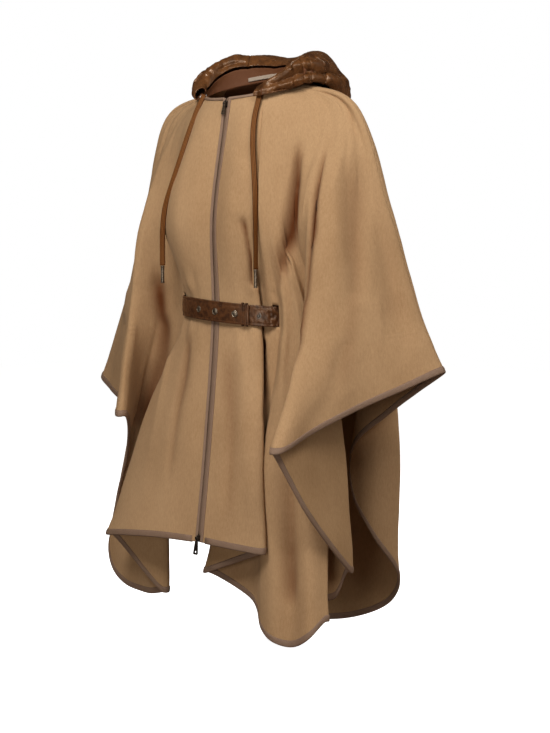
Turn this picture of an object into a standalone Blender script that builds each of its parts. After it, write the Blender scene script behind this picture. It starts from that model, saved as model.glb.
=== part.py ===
"""Hooded wool cape: two fronts and a back hung from the shoulders of a general figure, bound edges,
a two-way front zip, a belt that runs through a slit in each front, and a hood that lies back.
Metres, +Z up; the wearer would face -Y, and +X is the wearer's left. The origin is the neck base."""

import math

import bmesh
import bpy
from mathutils import Matrix, Vector

MM = 0.001
LEVEL = Vector((1, 1, 0))
WOOL = 2.5 * MM          # wall of the double-faced wool
GAP = 0.3 * MM           # space between pieces that touch
PRESSED = 0.2            # share of the wall that is left at an edge inside the binding
BINDING = 1.0 * MM       # wall of the folded binding
BINDING_CLEAR = 0.6 * MM # space under the binding, a little more where the cloth twists
BINDING_WIDTH = 10 * MM  # how far the binding reaches in from an edge

NECK_HALF_WIDTH = 98 * MM
NECK_HALF_DEPTH = 70 * MM
NECK_CENTRE_Y = 5 * MM
NECK_FRONT_Z = -42 * MM
NECK_RISE = 45 * MM      # the back of the neckline stands this much above the front
CHEST_Z = -250 * MM
WAIST_Z = -409 * MM
WAIST_TILT = 0.085       # the belt line falls towards the wearer's left
WAIST_TILT_REACH = 120 * MM

BELT_HEIGHT = 35 * MM
BELT_WALL = 2.5 * MM
BELT_HALF_WIDTH = 140 * MM
BELT_HALF_DEPTH = 95 * MM
SLIT_HALF_HEIGHT = 21 * MM

HOOD_WALL = 1.2 * MM
CORD_RADIUS = 2.5 * MM
TIP_RADIUS = 3.5 * MM
TIP_LENGTH = 31 * MM

# One row for each line that runs from the neckline down to the outer edge, in millimetres, with x
# counted outwards from the centre: its place round the neckline in degrees from the front, where it
# crosses the shoulder, the chest, the waist and the height half way from there to the edge, where
# it ends, and half the width of its fold, 0 for none.
COLUMNS = ("line", "neck", "shoulder", "chest", "waist", "lower", "edge", "fold")
LEFT_FRONT = [
    ("front_edge", 3, (5, -72, -85), (5, -99), (5, -95), (5, -112), (5, -137, -806), 0),
    ("front_middle", 22, (38, -73, -80), (50, -110), (46, -91), (62, -110), (75, -130, -811), 0),
    ("pleat_crest", 40, (70, -66, -78), (86, -95), (85, -71), (112, -94), (132, -112, -815), 6),
    ("pleat_root", 43, (75, -63, -78), (92, -92), (64, -67), (22, -84), (-28, -96, -866), 6),
    ("slit_inner", 46, (80, -60, -77), (98, -89), (104, -61), (72, -66), (60, -72, -902), 0),
    ("slit_outer", 49, (86, -57, -77), (104, -86), (117, -56), (98, -70), (88, -82, -918), 0),
    ("fall_inner", 52, (93, -54, -76), (110, -83), (127, -62), (112, -84), (112, -98, -946), 0),
    ("fall_ridge", 55, (101, -51, -76), (116, -81), (138, -68), (134, -90), (146, -108, -962), 0),
    ("fall_hollow", 58, (109, -47, -75), (122, -78), (150, -60), (158, -75), (178, -97, -968), 0),
    ("fall_outer_ridge", 61, (117, -43, -75), (128, -75), (160, -59), (190, -71), (221, -100, -947), 0),
    ("fall_turn", 64, (125, -38, -74), (134, -72), (168, -46), (206, -42), (236, -68, -921), 5),
    ("fall_back", 67, (133, -33, -74), (139, -69), (162, -32), (178, -16), (192, -28, -900), 0),
    ("front_corner", 70, (140, -28, -73), (145, -66), (167, -22), (190, -3), (208, -18, -892), 0),
    ("sleeve_root", 73, (147, -23, -73), (151, -64), (178, -16), (210, 2), (231, -2, -848), 6),
    ("sleeve_under", 77, (164, -13, -72), (180, -66), (196, -60), (218, -92), (238, -124, -738), 0),
    ("sleeve_fold", 81, (182, -4, -70), (205, -78), (211, -106), (218, -148), (226, -200, -633), 10),
    ("sleeve_front", 85, (196, 0, -68), (234, -62), (248, -86), (256, -112), (250, -132, -606), 0),
    ("sleeve_side", 89, (208, 3, -66), (262, -28), (292, -38), (292, -52), (290, -62, -568), 0),
    ("sleeve_top", 92, (214, 5, -65), (278, 0), (322, 4), (334, -2), (336, -8, -538), 0),
    ("ridge", 95, (223, 8, -66), (291, 19), (346, 34), (368, 39), (388, 45, -506), 0),
]
RIGHT_FRONT = [
    ("front_edge", 3, (5, -72, -85), (5, -99), (5, -95), (5, -112), (5, -137, -806), 0),
    ("front_middle", 20, (36, -73, -80), (52, -110), (42, -92), (70, -114), (92, -142, -806), 0),
    ("front_side", 34, (62, -68, -78), (98, -104), (76, -80), (136, -104), (186, -138, -812), 0),
    ("pleat_crest", 46, (84, -59, -77), (134, -84), (98, -65), (198, -80), (266, -110, -821), 6),
    ("pleat_root", 49, (89, -57, -76), (139, -74), (86, -59), (150, -62), (150, -66, -921), 6),
    ("slit_inner", 52, (94, -54, -76), (143, -67), (105, -59), (176, -50), (204, -56, -931), 0),
    ("slit_outer", 55, (100, -51, -75), (147, -61), (118, -53), (196, -42), (240, -48, -932), 0),
    ("fall_side", 60, (112, -45, -74), (155, -50), (142, -42), (222, -34), (290, -42, -925), 0),
    ("front_corner", 65, (124, -37, -73), (164, -42), (170, -36), (250, -28), (337, -30, -903), 0),
    ("corner_top", 69, (134, -31, -72), (172, -38), (186, -34), (260, -31), (352, -27, -866), 0),
    ("side_low", 73, (146, -24, -71), (184, -38), (198, -34), (258, -36), (318, -38, -774), 0),
    ("side_high", 77, (160, -16, -70), (202, -42), (210, -44), (242, -52), (270, -54, -674), 0),
    ("sleeve_fold", 82, (178, -6, -67), (228, -52), (232, -76), (226, -98), (218, -118, -602), 8),
    ("sleeve_side", 87, (198, 0, -62), (258, -26), (292, -38), (298, -44), (294, -48, -584), 0),
    ("sleeve_top", 91, (212, 4, -58), (277, -2), (335, 2), (356, -2), (370, -6, -565), 0),
    ("ridge", 95, (221, 7, -58), (285, 17), (357, 26), (392, 29), (431, 30, -543), 0),
]
# The back's lines from beside the ridge to beside the centre, the same on both sides.
BACK = [
    ("sleeve_back", 99, (210, 20, -60), (274, 46), (310, 62), (312, 70), (312, 68, -545), 0),
    ("sleeve_hollow", 104, (190, 44, -56), (248, 78), (258, 88), (246, 86), (238, 82, -588), 0),
    ("fold_high", 110, (162, 64, -52), (205, 104), (192, 102), (170, 98), (152, 92, -652), 0),
    ("fold_low", 115, (150, 74, -50), (190, 112), (180, 108), (160, 104), (150, 96, -732), 0),
    ("under_side", 121, (138, 84, -49), (174, 122), (178, 126), (182, 122), (186, 108, -803), 0),
    ("back_corner", 128, (122, 96, -47), (156, 134), (176, 156), (190, 172), (198, 168, -882), 0),
    ("back_turn", 137, (100, 108, -46), (126, 143), (146, 170), (158, 190), (160, 192, -934), 0),
    ("back_side", 152, (64, 120, -45), (78, 149), (88, 160), (92, 176), (92, 182, -968), 0),
]
CENTRE_BACK = ("centre_back", 180, (0, 126, -46), (0, 147), (0, 148), (0, 158), (0, 166, -982), 0)

ACROSS = (0, 0.5)        # where the points between two lines stand
FOLD_SHARE = 0.3         # most of the way to its neighbours that a fold takes up
MOST_MITRE = 2.5         # how much further a point on a fold is moved out, at most
WAIST_ROW = 9            # the row of the grid that stands at the waist

# The lying hood: one row for each section round the neck, in degrees from the front by the wearer's
# left, with how far it reaches out from the neckline, its top and its lowest point in millimetres.
HOOD = [
    (48, 12, -20, -34),
    (62, 20, -4, -27),
    (80, 32, 22, -22),
    (100, 46, 30, -20),
    (122, 66, 38, -38),
    (144, 90, 47, -96),
    (165, 108, 47, -150),
    (188, 112, 46, -160),
    (205, 108, 49, -140),
    (222, 94, 48, -90),
    (242, 66, 44, -34),
    (264, 44, 26, -20),
    (284, 34, 0, -26),
    (302, 20, -16, -31),
]
HOOD_SEAMS = (165, 222)
HOOD_FALL = 9            # steps down the layer that lies on the cape
HOOD_SEAM_LIFT = WOOL / 2 + 3 * GAP + HOOD_WALL / 2
HOOD_LIFT = 10 * MM
HOOD_LEAST = 6 * MM
RIM_OUT = 1 * MM
RIM_SHARE = 0.6          # how high the rim stands between the neckline and the top of the roll
# The section's own shape: shares of the reach, and shares of the height above the low point.
HOOD_SECTION = [(0.8, 0.0), (1.0, 0.14), (1.04, 0.42)]
HOOD_RIM = [(0.86, 0.8), (0.5, 1.0), (0.16, 0.97)]

LEFT_CORD = [(68, -51, -29), (69, -60, -52), (71, -71, -80), (78, -83, -120), (87, -90, -165),
             (94, -94.5, -210), (97, -97.5, -250), (98, -97.5, -300), (98, -97.5, -338)]
RIGHT_CORD = [(-78, -43, -29), (-84, -56.3, -60), (-90, -71, -100), (-98, -86, -150), (-108, -95, -190),
              (-120, -98, -225), (-127, -98, -265), (-129, -97, -300), (-129, -97, -330)]

SNAP_PLACES = (-30, 9, 48)       # how far each snap stands from the centre line, in millimetres
SOCKET_PLACE = 86
SNAP_RADIUS = 5.8 * MM
SNAP_HEIGHT = 1.6 * MM

# The belt's path seen from above: degrees round the waist from the front, and how far its middle
# stands outside the waist's ellipse, in millimetres. It starts under its own end, goes in through
# the left slit, round the back inside the cape, and out through the right slit over its start.
BELT_PATH = [
    (-29, 5.6), (-15, 5.6), (0, 5.6), (18, 5.6), (34, 5.6), (41, 5.2), (46, 3.6), (50.5, 1.0), (54, -2.0),
    (59, -4.0), (66, -5.0), (90, -5.0), (125, -5.0), (160, -5.0), (200, -5.0), (235, -5.0), (270, -5.0),
    (294, -5.0), (301, -4.2), (306, -2.0), (309.5, 1.0), (314, 4.2), (319, 7.2), (326, 8.8), (345, 8.8),
    (360, 8.8), (376, 8.8), (391, 8.8),
]
BELT_UNDER = 5.6 * MM
BELT_OVER = 8.8 * MM

TAPE_WALL = 0.8 * MM
TAPE_SHARE = 0.6          # how far each tape reaches behind the binding, as a share of its width
CHAIN_HALF_WIDTH = 2.4 * MM
CHAIN_BACK = -2.6 * MM           # how far the chain's two faces stand out from the middle of the cloth
CHAIN_FRONT = -0.6 * MM
TOP_SLIDER_Z = -52 * MM
BOTTOM_SLIDER_Z = -800 * MM
SLIDER_WIDTH = 6 * MM
SLIDER_HEIGHT = 10 * MM
SLIDER_FRONT = 3.4 * MM
CHEEK = 1.0 * MM
CHEEK_HEIGHT = 5 * MM
HINGE_LIFT = 5.2 * MM
BARREL_RADIUS = 1.2 * MM
BARREL_HALF = 1.7 * MM
PULL_WALL = 1.2 * MM
PULL_HOLE = 1.9 * MM
PULLS = {"top": (TOP_SLIDER_Z, 20 * MM, 9 * MM), "bottom": (BOTTOM_SLIDER_Z, 28 * MM, 11 * MM)}

NECK_TAPE = (150, 214)           # degrees round the neckline
NECK_TAPE_HEIGHT = 7 * MM
FACING_WALL = 0.8 * MM
FACING_ROWS = 4

# Colour, roughness and how metallic it is.
STYLES = {
    "wool": ((0.38, 0.24, 0.12), 0.9, 0.0),
    "taupe": ((0.24, 0.16, 0.11), 0.7, 0.0),
    "nylon": ((0.16, 0.07, 0.03), 0.35, 0.0),
    "metal": ((0.09, 0.08, 0.08), 0.35, 1.0),
}


def clear_scene():
    for obj in list(bpy.data.objects):
        bpy.data.objects.remove(obj, do_unlink=True)


def make_material(name, style):
    colour, roughness, metallic = STYLES[style]
    material = bpy.data.materials.new(f"{name}_{style}")
    material.use_nodes = True
    shader = material.node_tree.nodes["Principled BSDF"]
    shader.inputs["Base Color"].default_value = (*colour, 1)
    shader.inputs["Roughness"].default_value = roughness
    shader.inputs["Metallic"].default_value = metallic
    return material


def mesh_object(name, points, faces, style, collection):
    mesh = bpy.data.meshes.new(name)
    mesh.from_pydata([tuple(p) for p in points], [], faces)
    mesh.update()
    mesh.materials.append(make_material(name, style))
    obj = bpy.data.objects.new(name, mesh)
    collection.objects.link(obj)
    return obj


def smooth_points(controls, steps):
    """Points on a centripetal curve through the controls, at the given shares of each interval."""
    knots = [max((b - a).length, 1e-6) ** 0.5 for a, b in zip(controls, controls[1:])]
    slopes = [(controls[1] - controls[0]) / knots[0]]
    for i, here in enumerate(controls[1:-1]):
        before = (here - controls[i]) / knots[i]
        after = (controls[i + 2] - here) / knots[i + 1]
        slopes.append((before * knots[i + 1] + after * knots[i]) / (knots[i] + knots[i + 1]))
    slopes.append((controls[-1] - controls[-2]) / knots[-1])
    points = []
    for i, knot in enumerate(knots):
        for share in steps[i]:
            points.append(hermite(controls[i], controls[i + 1], slopes[i] * knot, slopes[i + 1] * knot, share))
    points.append(controls[-1].copy())
    return points


def hermite(start, end, leave, arrive, t):
    return (start * (2 * t**3 - 3 * t**2 + 1) + leave * (t**3 - 2 * t**2 + t)
            + end * (3 * t**2 - 2 * t**3) + arrive * (t**3 - t**2))


def neck_point(degrees):
    angle = math.radians(degrees)
    x = NECK_HALF_WIDTH * math.sin(angle)
    y = NECK_CENTRE_Y - NECK_HALF_DEPTH * math.cos(angle)
    z = NECK_FRONT_Z + NECK_RISE * (1 - math.cos(angle)) / 2
    return Vector((x, y, z))


def waist_height(x):
    return WAIST_Z - WAIST_TILT * max(-WAIST_TILT_REACH, min(WAIST_TILT_REACH, x))


def line_down(row, side):
    """The points of one line of the table, from the neckline to the band along the edge."""
    line = dict(zip(COLUMNS, row))
    flip = Vector((side, 1, 1))
    neck = neck_point(line["neck"])
    neck.x *= side
    shoulder = Vector(line["shoulder"]) * MM
    edge = Vector(line["edge"]) * MM
    chest = Vector((*line["chest"], 0)) * MM
    waist = Vector((*line["waist"], 0)) * MM
    lower = Vector((*line["lower"], 0)) * MM
    for point in (shoulder, edge, chest, waist, lower):
        point.x *= flip.x
    chest.z = CHEST_Z
    waist.z = waist_height(waist.x)
    lower.z = (waist.z + edge.z) / 2
    above = (waist.z + SLIT_HALF_HEIGHT - chest.z) / (waist.z - chest.z)
    below = SLIT_HALF_HEIGHT / (waist.z - lower.z)
    band = 1 - BINDING_WIDTH / (edge - lower).length
    steps = [[0, 0.5], [0, 0.33, 0.67], [0, 0.34, 0.67, above], [0, below, 0.55], [0, band / 2, band]]
    return smooth_points([neck, shoulder, chest, waist, lower, edge], steps)


def cape_lines():
    """Every line of the cape in order, from the left front edge round the back to the right one."""
    left = [(row, 1) for row in LEFT_FRONT + BACK]
    right = [(row, -1) for row in reversed(RIGHT_FRONT)]
    rest = [(row, -1) for row in reversed(BACK)]
    return left + [(CENTRE_BACK, 1)] + rest + right


def rounded_fold(before, crest, after, half_width):
    """The points to each side of a fold's crest that give it its width; a flat place gets the same two."""
    come = (crest - before) * LEVEL
    leave = (after - crest) * LEVEL
    width = min(half_width, FOLD_SHARE * min(come.length, leave.length))
    come.normalize()
    leave.normalize()
    back = (come - leave) * width / 2
    aside = (come + leave).normalized() * width
    return [crest - back - aside, crest, crest - back + aside]


def cape_grid():
    """Rows of middle-surface points, and the column at which each line stands."""
    lines = cape_lines()
    downs = [line_down(row, side) for row, side in lines]
    folds = [row[-1] * MM for row, _ in lines]
    rows = []
    for level in range(len(downs[0])):
        crests = [down[level] for down in downs]
        controls = []
        steps = []
        columns = []
        for k, crest in enumerate(crests):
            columns.append(sum(len(step) for step in steps) + (1 if folds[k] else 0))
            if folds[k]:
                controls += rounded_fold(crests[k - 1], crest, crests[k + 1], folds[k])
                steps += [[0], [0], list(ACROSS)]
            else:
                controls.append(crest)
                steps.append(list(ACROSS))
        steps.pop()
        first = BINDING_WIDTH / (controls[1] - controls[0]).length
        last = BINDING_WIDTH / (controls[-1] - controls[-2]).length
        steps[0] = [0, min(first, 0.45), 0.6]
        steps[-1] = [0, 0.4, max(1 - last, 0.55)]
        columns = [0] + [c + 1 for c in columns[1:]]
        columns[-1] += 1
        rows.append(smooth_points(controls, steps))
    return rows, columns


def ridge_lines():
    """The places in the list of lines where the back meets the fronts."""
    return len(LEFT_FRONT) - 1, len(LEFT_FRONT) + 2 * len(BACK) + 1


def grid_normals(rows):
    """Normals that point out of the cape: at each point of the grid half way between its cells' own, and
    longer on a fold, so that a skin moved out along them stays parallel to the cells."""
    high = len(rows) - 1
    wide = len(rows[0]) - 1
    cells = [[(rows[i][j + 1] - rows[i + 1][j]).cross(rows[i + 1][j + 1] - rows[i][j]).normalized()
              for j in range(wide)] for i in range(high)]
    normals = []
    for i in range(high + 1):
        line = []
        for j in range(wide + 1):
            near = [cells[k][m] for k in (i - 1, i) for m in (j - 1, j) if 0 <= k < high and 0 <= m < wide]
            normal = sum(near, Vector()).normalized()
            mitre = 1 / max(min(normal.dot(n) for n in near), 1 / MOST_MITRE)
            line.append(normal * -mitre)
        normals.append(line)
    return normals


def lifted(rows, normals, lift):
    return [[p + n * lift for p, n in zip(row, line)] for row, line in zip(rows, normals)]


def skin(rows, normals, lift):
    """The grid moved out along its normals, and less far at the edges, which the binding presses thin."""
    moved = lifted(rows, normals, lift)
    pressed = lift * PRESSED
    moved[-1] = [p + n * pressed for p, n in zip(rows[-1], normals[-1])]
    for row, line, out in zip(rows, normals, moved):
        out[0] = row[0] + line[0] * pressed
        out[-1] = row[-1] + line[-1] * pressed
    return moved


def stretch(rows, first, last, by=GAP / 2):
    """Columns first to last of a grid, with the two outer ones moved in along the surface."""
    part = [[point.copy() for point in row[first:last + 1]] for row in rows]
    for row in part:
        start = (row[1] - row[0]).normalized() * by
        end = (row[-2] - row[-1]).normalized() * by
        row[0] += start
        row[-1] += end
    return part


def solid_between(outer, inner, left_out=(), turned=()):
    """Points and faces of the closed solid between two grids. Rows of cells in turned have the other diagonal."""
    wide = len(outer[0])
    half = len(outer) * wide
    points = [p for skin in (outer, inner) for row in skin for p in row]
    faces = []
    edges = {}
    for i in range(len(outer) - 1):
        k = 1 if i in turned else 0
        for j in range(wide - 1):
            if (i, j) in left_out:
                continue
            a = i * wide + j
            ring = (a, a + wide, a + wide + 1, a + 1)
            for corners in ((ring[k], ring[k + 1], ring[k + 2]), (ring[k], ring[k + 2], ring[(k + 3) % 4])):
                faces.append(corners)
                faces.append(tuple(half + c for c in reversed(corners)))
            for start, end in zip(ring, ring[1:] + ring[:1]):
                edges[(start, end)] = True
    for start, end in edges:
        if (end, start) not in edges:
            faces.append((end, start, half + start))
            faces.append((end, half + start, half + end))
    return points, faces


def panel(name, skins, first, last, collection, slits=()):
    outer, inner = [stretch(rows, first, last) for rows in skins]
    points, faces = solid_between(outer, inner, left_out=slits)
    face_out(mesh_object(name, points, faces, "wool", collection))


def binding_skins(near, far, normals_near, normals_far):
    """The outer and inner skin of a U of binding over the strip between two rows of panel points."""
    skins = []
    for clear in (BINDING_CLEAR + BINDING, BINDING_CLEAR):
        lift = WOOL / 2 + clear
        outward = [(b - a).normalized() * clear for a, b in zip(near, far)]
        skins.append([
            [p + n * lift for p, n in zip(near, normals_near)],
            [p + n * lift + o for p, n, o in zip(far, normals_far, outward)],
            [p - n * lift + o for p, n, o in zip(far, normals_far, outward)],
            [p - n * lift for p, n in zip(near, normals_near)],
        ])
    return skins


def binding(name, skins, first, last, turned, collection):
    outer, inner = [stretch(rows, first, last) for rows in skins]
    points, faces = solid_between(outer, inner, turned=(turned,))
    face_out(mesh_object(name, points, faces, "taupe", collection))


def face_out(obj):
    work = bmesh.new()
    work.from_mesh(obj.data)
    bmesh.ops.recalc_face_normals(work, faces=work.faces)
    if work.calc_volume(signed=True) < 0:
        bmesh.ops.reverse_faces(work, faces=work.faces)
    work.to_mesh(obj.data)
    work.free()


def make_panels(rows, normals, columns, ridges, collection):
    left_ridge, right_ridge = ridges
    skins = [skin(rows, normals, WOOL / 2), skin(rows, normals, -WOOL / 2)]
    slit_left = slit_cells(columns[4], 0)
    slit_right = slit_cells(columns[-7], right_ridge)
    panel("front_left", skins, 0, left_ridge, collection, slit_left)
    panel("back", skins, left_ridge, right_ridge, collection)
    panel("front_right", skins, right_ridge, columns[-1], collection, slit_right)


def slit_cells(column, first):
    """The cells that a belt slit leaves open, counted from the panel's first column."""
    return {(i, column - first + j) for i in (WAIST_ROW - 1, WAIST_ROW) for j in range(len(ACROSS))}


def make_bindings(rows, normals, ridges, collection):
    last = len(rows[0]) - 1
    left_ridge, right_ridge = ridges
    hem = binding_skins(rows[-2], rows[-1], normals[-2], normals[-1])
    binding("binding_hem_left", hem, 1, left_ridge, 2, collection)
    binding("binding_hem_back", hem, left_ridge, right_ridge, 2, collection)
    binding("binding_hem_right", hem, right_ridge, last - 1, 2, collection)
    for name, edge, near, turned in (("binding_front_left", 0, 1, 0), ("binding_front_right", last, last - 1, 2)):
        run = [[row[k] for row in grid] for grid in (rows, normals) for k in (near, edge)]
        front = binding_skins(*run)
        binding(name, front, 0, len(rows) - 1, turned, collection)


def cape_profile(rows, normals, angle):
    """The cape's own line at an angle round the neckline, and its normals, from the neck to the chest."""
    tops = [math.degrees(math.atan2(p.x / NECK_HALF_WIDTH, (NECK_CENTRE_Y - p.y) / NECK_HALF_DEPTH)) % 360
            for p in rows[0]]
    for j, (before, after) in enumerate(zip(tops, tops[1:])):
        if before <= angle <= after:
            share = (angle - before) / (after - before)
            return [(row[j].lerp(row[j + 1], share), line[j].lerp(line[j + 1], share).normalized())
                    for row, line in zip(rows[:WAIST_ROW], normals)]
    return None


def along_profile(profile, low):
    """Points spaced evenly down the cape's line from the neck to a height, moved out of the cloth."""
    line = [item for item in profile if item[0].z > low]
    start, leave = profile[len(line) - 1]
    end, arrive = profile[len(line)]
    share = (start.z - low) / (start.z - end.z)
    line.append((start.lerp(end, share), leave.lerp(arrive, share).normalized()))
    lengths = [(b[0] - a[0]).length for a, b in zip(line, line[1:])]
    places = []
    for step in range(HOOD_FALL + 1):
        left = sum(lengths) * step / HOOD_FALL
        k = 0
        while k < len(lengths) - 1 and left > lengths[k]:
            left -= lengths[k]
            k += 1
        share = min(left / lengths[k], 1)
        out = line[k][1].lerp(line[k + 1][1], share).normalized()
        lift = HOOD_SEAM_LIFT + (HOOD_LIFT - HOOD_SEAM_LIFT) * min(1, step / 3)
        places.append(line[k][0].lerp(line[k + 1][0], share) + out * lift)
    return places


def cloth_height(profile, away):
    """The height of the cape at a distance out from the neckline, or far below where it ends sooner."""
    for (start, _), (end, _) in zip(profile, profile[1:]):
        near = ((start - profile[0][0]) * LEVEL).length
        far = ((end - profile[0][0]) * LEVEL).length
        if near <= away <= far:
            return start.z + (end.z - start.z) * (away - near) / (far - near)
    return -math.inf


def hood_section(row, rows, normals):
    """One section of the lying hood: down on the cape's own line, out over the roll and in to the rim."""
    angle, reach, top, low = row
    profile = cape_profile(rows, normals, angle)
    seam = profile[0][0]
    low = min(low, seam.z - 6 * MM)
    places = along_profile(profile, low)
    out = ((places[-1] - seam) * LEVEL).normalized()
    far = ((places[-1] - seam) * LEVEL).length
    for share, height in HOOD_SECTION:
        away = max(share * reach, far + HOOD_LEAST * min(1, share))
        floor = cloth_height(profile, away) + HOOD_LIFT
        places.append(seam * LEVEL + out * away + Vector((0, 0, max(floor, low + height * (top - low)))))
    for share, height in HOOD_RIM:
        places.append(seam * LEVEL + out * share * reach + Vector((0, 0, low + height * (top - low))))
    rim = seam.z + RIM_SHARE * (top - seam.z)
    places.append(seam * LEVEL + out * RIM_OUT + Vector((0, 0, rim)))
    return places


def make_hood(cape, cape_normals, collection):
    shape = smooth_points([Vector(row[1:]) * MM for row in HOOD], [list(ACROSS)] * (len(HOOD) - 1))
    angles = [HOOD[0][0]]
    for before, after in zip(HOOD, HOOD[1:]):
        angles += [(before[0] + after[0]) / 2, after[0]]
    columns = []
    for angle, values in zip(angles, shape):
        controls = hood_section((angle, *values), cape, cape_normals)
        whole = [[0]] * HOOD_FALL + [list(ACROSS)] * (len(controls) - 1 - HOOD_FALL)
        columns.append(smooth_points(controls, whole))
    rows = [list(row) for row in zip(*columns)]
    normals = grid_normals(rows)
    skins = [lifted(rows, normals, HOOD_WALL / 2), lifted(rows, normals, -HOOD_WALL / 2)]
    seams = [2 * [row[0] for row in HOOD].index(angle) for angle in HOOD_SEAMS]
    bounds = [0, *seams, len(rows[0]) - 1]
    for name, first, last in zip(("hood_left", "hood_centre", "hood_right"), bounds, bounds[1:]):
        outer, inner = [stretch(grid, first, last) for grid in skins]
        points, faces = solid_between(outer, inner)
        face_out(mesh_object(name, points, faces, "nylon", collection))


def make_neck_tape(collection):
    start, end = NECK_TAPE
    count = 8
    outer = [[], []]
    inner = [[], []]
    for k in range(count + 1):
        seam = neck_point(start + (end - start) * k / count)
        way = ((seam - Vector((0, NECK_CENTRE_Y, 0))) * LEVEL).normalized()
        for i in (0, 1):
            foot = seam + Vector((0, 0, 0.6 * MM + i * NECK_TAPE_HEIGHT))
            outer[i].append(foot - way * 0.6 * MM)
            inner[i].append(foot - way * (0.6 * MM + TAPE_WALL))
    points, faces = solid_between(outer, inner)
    face_out(mesh_object("neck_tape", points, faces, "taupe", collection))


def make_neck_facing(rows, normals, columns, collection):
    """The half moon of lining cloth that backs the wool below the back of the neck."""
    first = columns[len(LEFT_FRONT) + 2]
    last = columns[len(LEFT_FRONT) + 2 * len(BACK) - 2]
    grid = rows[:FACING_ROWS]
    lift = WOOL / 2 + GAP
    outer, inner = [[row[first:last + 1] for row in lifted(grid, normals, -depth)]
                    for depth in (lift, lift + FACING_WALL)]
    points, faces = solid_between(outer, inner)
    face_out(mesh_object("neck_facing", points, faces, "nylon", collection))


def front_line(rows, normals, height):
    """The point and the outward normal of the cape's front, on the centre line, at a height."""
    for upper, lower, normal in zip(rows, rows[1:], normals):
        start = upper[0]
        end = lower[0]
        if start.z >= height >= end.z:
            point = start.lerp(end, (start.z - height) / (start.z - end.z))
            return Vector((0, point.y, point.z)), (normal[0] * Vector((0, 1, 1))).normalized()
    return None


def front_strip(name, places, left, right, back, front, collection):
    """A strip that runs down the front between two distances from the centre line."""
    skins = []
    for lift in (front, back):
        skins.append([[p + n * lift + Vector((x, 0, 0)) for x in (right, left)] for p, n in places])
    points, faces = solid_between(*skins)
    face_out(mesh_object(name, points, faces, "metal", collection))


def zip_tape(name, grid, normals, collection):
    """A tape behind a front's bound edge, from that edge's own points moved in, out to the centre line."""
    back = -(WOOL / 2 + BINDING_CLEAR + BINDING + 2 * GAP)
    skins = [[], []]
    for (edge, inner), (leave, arrive) in zip(grid, normals):
        near = Vector((math.copysign(0.4 * MM, edge.x), edge.y, edge.z))
        far = edge.lerp(inner, TAPE_SHARE)
        skew = leave.lerp(arrive, TAPE_SHARE)
        straight = (leave * Vector((0, 1, 1))).normalized()
        for skin_rows, lift in zip(skins, (back, back - TAPE_WALL)):
            skin_rows.append([near + straight * lift, edge + straight * lift, far + skew * lift])
    points, faces = solid_between(*skins)
    face_out(mesh_object(name, points, faces, "taupe", collection))


def make_zip(rows, normals, collection):
    for name, ends in (("zip_tape_left", (0, 1)), ("zip_tape_right", (-1, -2))):
        zip_tape(name, [[row[k] for k in ends] for row in rows], [[n[k] for k in ends] for n in normals],
                 collection)
    heights = [row[0].z for row in rows]
    reach = SLIDER_HEIGHT / 2 + GAP
    top = TOP_SLIDER_Z - reach
    bottom = BOTTOM_SLIDER_Z + reach
    runs = [top, *[height for height in heights if bottom < height < top], bottom]
    places = [front_line(rows, normals, height) for height in runs]
    front_strip("zip_chain", places, -CHAIN_HALF_WIDTH, CHAIN_HALF_WIDTH, CHAIN_BACK, CHAIN_FRONT,
                collection)
    for name, (height, length, width) in PULLS.items():
        make_slider(name, *front_line(rows, normals, height), length, width, collection)


def add_box(work, centre, size):
    made = bmesh.ops.create_cube(work, size=1)
    for vert in made["verts"]:
        vert.co = Vector(centre) + Vector(a * b for a, b in zip(vert.co, size))


def object_from(work, name, style, collection):
    mesh = bpy.data.meshes.new(name)
    work.to_mesh(mesh)
    work.free()
    mesh.materials.append(make_material(name, style))
    obj = bpy.data.objects.new(name, mesh)
    collection.objects.link(obj)
    return obj


def join(target, helper_work, name, helpers):
    """Joins a helper shape to an object with a Boolean union."""
    helper = object_from(helper_work, name, "metal", helpers)
    helper.hide_render = True
    helper.display_type = "WIRE"
    helper.location = target.location
    helper.rotation_euler = target.rotation_euler
    modifier = target.modifiers.new(name, "BOOLEAN")
    modifier.operation = "UNION"
    modifier.object = helper
    return helper


def pull_outline(length, width):
    """Half widths of the pull tab down its length, as a row of points round it."""
    neck = BARREL_HALF
    shoulder = -CHEEK_HEIGHT * 0.75
    right = [(neck, 0), (neck, shoulder), (width * 0.3, shoulder - 2 * MM), (width / 2, -length + 2 * MM),
             (width / 2 - 1.2 * MM, -length)]
    return right + [(-x, z) for x, z in reversed(right)]


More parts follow.
